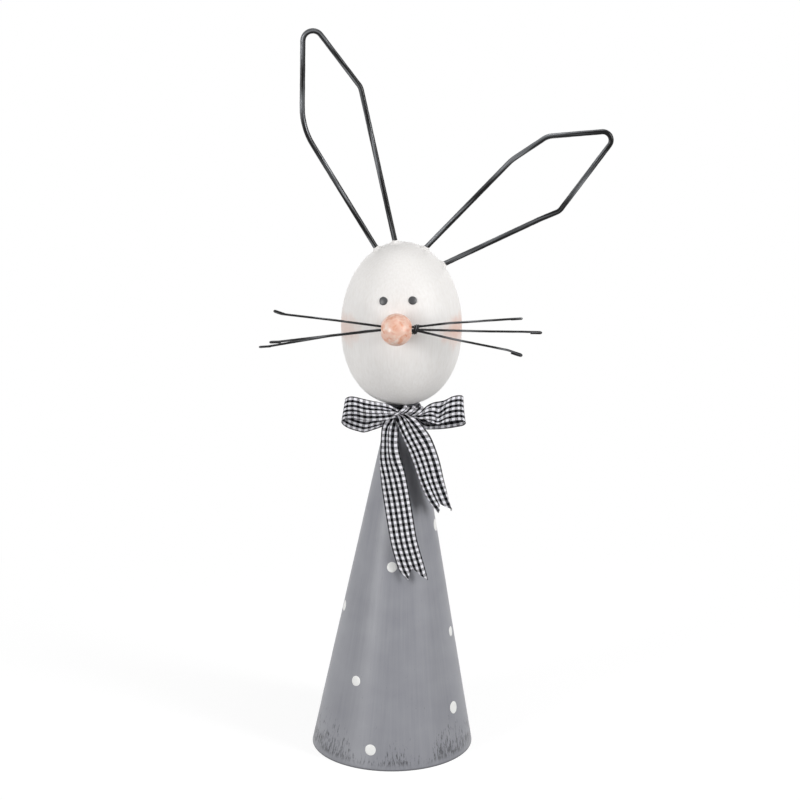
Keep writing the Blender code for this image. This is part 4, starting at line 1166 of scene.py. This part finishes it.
def makeKnot(material):
    # The wrap that holds the bow: a gathered turn of ribbon that climbs from lower left to upper right
    middle = knotMiddle + Vector(wrap["middle"]) * mm
    slope, lean = wrap["slope"], wrap["lean"]
    run = Vector((math.cos(slope), 0, math.sin(slope)))
    # Its pleats lie beside each other along a line that leans less than a right angle from their run
    axis = -Vector((math.cos(lean), 0, math.sin(lean))) / math.sin(slope - lean)
    ahead = Vector((0, -1, 0))
    xs, ys = pleatedSection(wrap["spread"], wrap["waves"])
    grid, travelled, last = [], [], None
    for angle in circleTurns(wrap["columns"]):
        onward, forward = math.cos(angle) * run, math.sin(angle) * ahead
        centre = middle + wrap["halfLength"] * onward + wrap["halfDepth"] * forward
        out = (onward / wrap["halfLength"] + forward / wrap["halfDepth"]).normalized()
        travelled.append(travelled[-1] + (centre - last).length if last else 0.0)
        last = centre
        row = []
        for x, y in zip(xs, ys):
            point = centre + ribbon["width"] * (x * axis + y * wrap["pleatDepth"] * out)
            row.append(clearOfBody(point - wrap["waist"] * x * x * out))
        grid.append(row)
    length = travelled[-1] + (grid[0][0] - grid[-1][0]).length
    return makeTurn("bow_wrap", grid, travelled, length, material, "bow_knot")


# Stage

studio = {
    "worldStrength": 0.06,
    "floorLight": 0.225,   # what the lamps give the floor round the foot
    "shadowShare": 0.7,
    "shadowReach": 0.45,
    "floorColour": "#a0a0a0",
    "floorSize": 7.0,
    "lamps": {
        "left strip": {"place": (-1.12, -1.00, 0.48), "aim": (0, 0, 0.26), "size": (0.5, 0.9), "watts": 13.7},
        "right strip": {"place": (1.25, -0.79, 0.72), "aim": (0, 0, 0.24), "size": (0.4, 0.8), "watts": 16.5},
        "overhead": {"place": (0.05, -0.15, 1.5), "aim": (0, 0, 0.3), "size": (0.8, 0.8), "watts": 4.5},
        "left wall": {"place": (-1.4, 0.3, 0.60), "aim": (0, 0, 0.30), "size": (1.4, 0.9), "watts": 3},
        "right wall": {"place": (1.4, 0.3, 0.60), "aim": (0, 0, 0.30), "size": (1.4, 0.9), "watts": 1.5},
        "back wall": {"place": (0, 1.5, 0.55), "aim": (0, 0, 0.28), "size": (1.6, 0.9), "watts": 5},
    },
}


def lookingRays(add):
    # 1 for the kinds of ray that show a surface itself, 0 for those that carry its light on
    path = add("ShaderNodeLightPath").outputs
    looking = path["Is Camera Ray"]
    for kind in ("Is Glossy Ray", "Is Transmission Ray"):
        looking = add("ShaderNodeMath", {0: looking, 1: path[kind]}, operation="MAXIMUM")
    return looking


def makeRoom():
    # Plain white to look at, but only a little light
    world = bpy.data.worlds.new("studio")
    bpy.context.scene.world = world
    world.use_nodes = True
    world.node_tree.nodes.clear()
    add = functools.partial(addNode, world.node_tree)
    seen = lookingRays(add)
    room = add("ShaderNodeBackground", {"Color": (1, 1, 1, 1), "Strength": studio["worldStrength"]})
    white = add("ShaderNodeBackground", {"Color": (1, 1, 1, 1), "Strength": 1.0})
    shown = add("ShaderNodeMixShader", {0: seen, 1: room, 2: white})
    add("ShaderNodeOutputWorld", {"Surface": shown})


def makeFloor():
    # Near the object the floor shows its own light and shadow, farther out it turns into plain white
    material, add = startMaterial("pale floor")
    material.node_tree.nodes.clear()
    seen = lookingRays(add)
    place = add("ShaderNodeTexCoord").outputs["Object"]
    away = add("ShaderNodeVectorMath", {0: place}, operation="LENGTH")
    own = add("ShaderNodeMapRange", {
        0: away, 1: studio["shadowReach"] / 4, 2: studio["shadowReach"], 3: studio["shadowShare"], 4: 0.0})
    rest = add("ShaderNodeMath", {0: 1.0, 1: own}, operation="SUBTRACT")
    missing = add("ShaderNodeMath", {0: own, 1: -studio["floorLight"], 2: 1.0}, operation="MULTIPLY_ADD")
    strength = add("ShaderNodeMath", {0: missing, 1: rest}, operation="DIVIDE")
    share = add("ShaderNodeMath", {0: seen, 1: rest}, operation="MULTIPLY")
    matt = add("ShaderNodeBsdfDiffuse", {"Color": linear(studio["floorColour"])})
    glow = add("ShaderNodeEmission", {"Color": (1, 1, 1, 1), "Strength": strength})
    both = add("ShaderNodeMixShader", {0: share, 1: matt, 2: glow})
    add("ShaderNodeOutputMaterial", {"Surface": both})
    size = studio["floorSize"]
    mesh = bpy.data.meshes.new("floor")
    corners = [(-size, -size, 0), (size, -size, 0), (size, size, 0), (-size, size, 0)]
    mesh.from_pydata(corners, [], [(0, 1, 2, 3)])
    newObject("floor", mesh, material)


def makeLamps():
    for name, lamp in studio["lamps"].items():
        data = bpy.data.lights.new(name, "AREA")
        data.shape = "RECTANGLE"
        data.size, data.size_y = lamp["size"]
        data.energy = lamp["watts"]
        aim(newObject(name, data), lamp["place"], lamp["aim"])


makeCamera()
makeRoom()
makeFloor()
makeLamps()
bpy.context.scene.view_settings.view_transform = "Standard"
print("camera, floor and lamps")

roughGrey = dippedGreyPaint()
makeDabs(makeCone(brushedSteelPaint()), dabbedWhitePaint())
for node in ("base_disc", "neck_weld"):
    frame["nodes"][node].data.materials.clear()
    frame["nodes"][node].data.materials.append(roughGrey)
print("cone")

headPaint = brushedLacquer()
earPaint = rubbedBlackPaintWithHighlight("black paint on rod, silver rubbed, painted highlight", ears["rub"])
makeHead(headPaint)
for side in ("left", "right"):
    makeEar(side, earPaint, headPaint)
print("head and ears")

makeNose(polishedBead())
enamel = curedEnamel()
makeEye("left", face["turn"] - face["eyeSpread"], enamel)
makeEye("right", face["turn"] + face["eyeSpread"], enamel)
whiskerPaint = rubbedBlackPaintWithHighlight("black paint on wire, silver rubbed, painted highlight", whiskers["rub"])
for name, plan in whiskers["each"].items():
    makeWhisker(name, plan, whiskerPaint)
makeTie(whiskerPaint)
print("face")

cloth = wovenGingham()
makeBand(cloth)
makeKnot(cloth)
for name, plan in bow.items():
    makeStretch(name, plan, cloth)
print("ribbon")
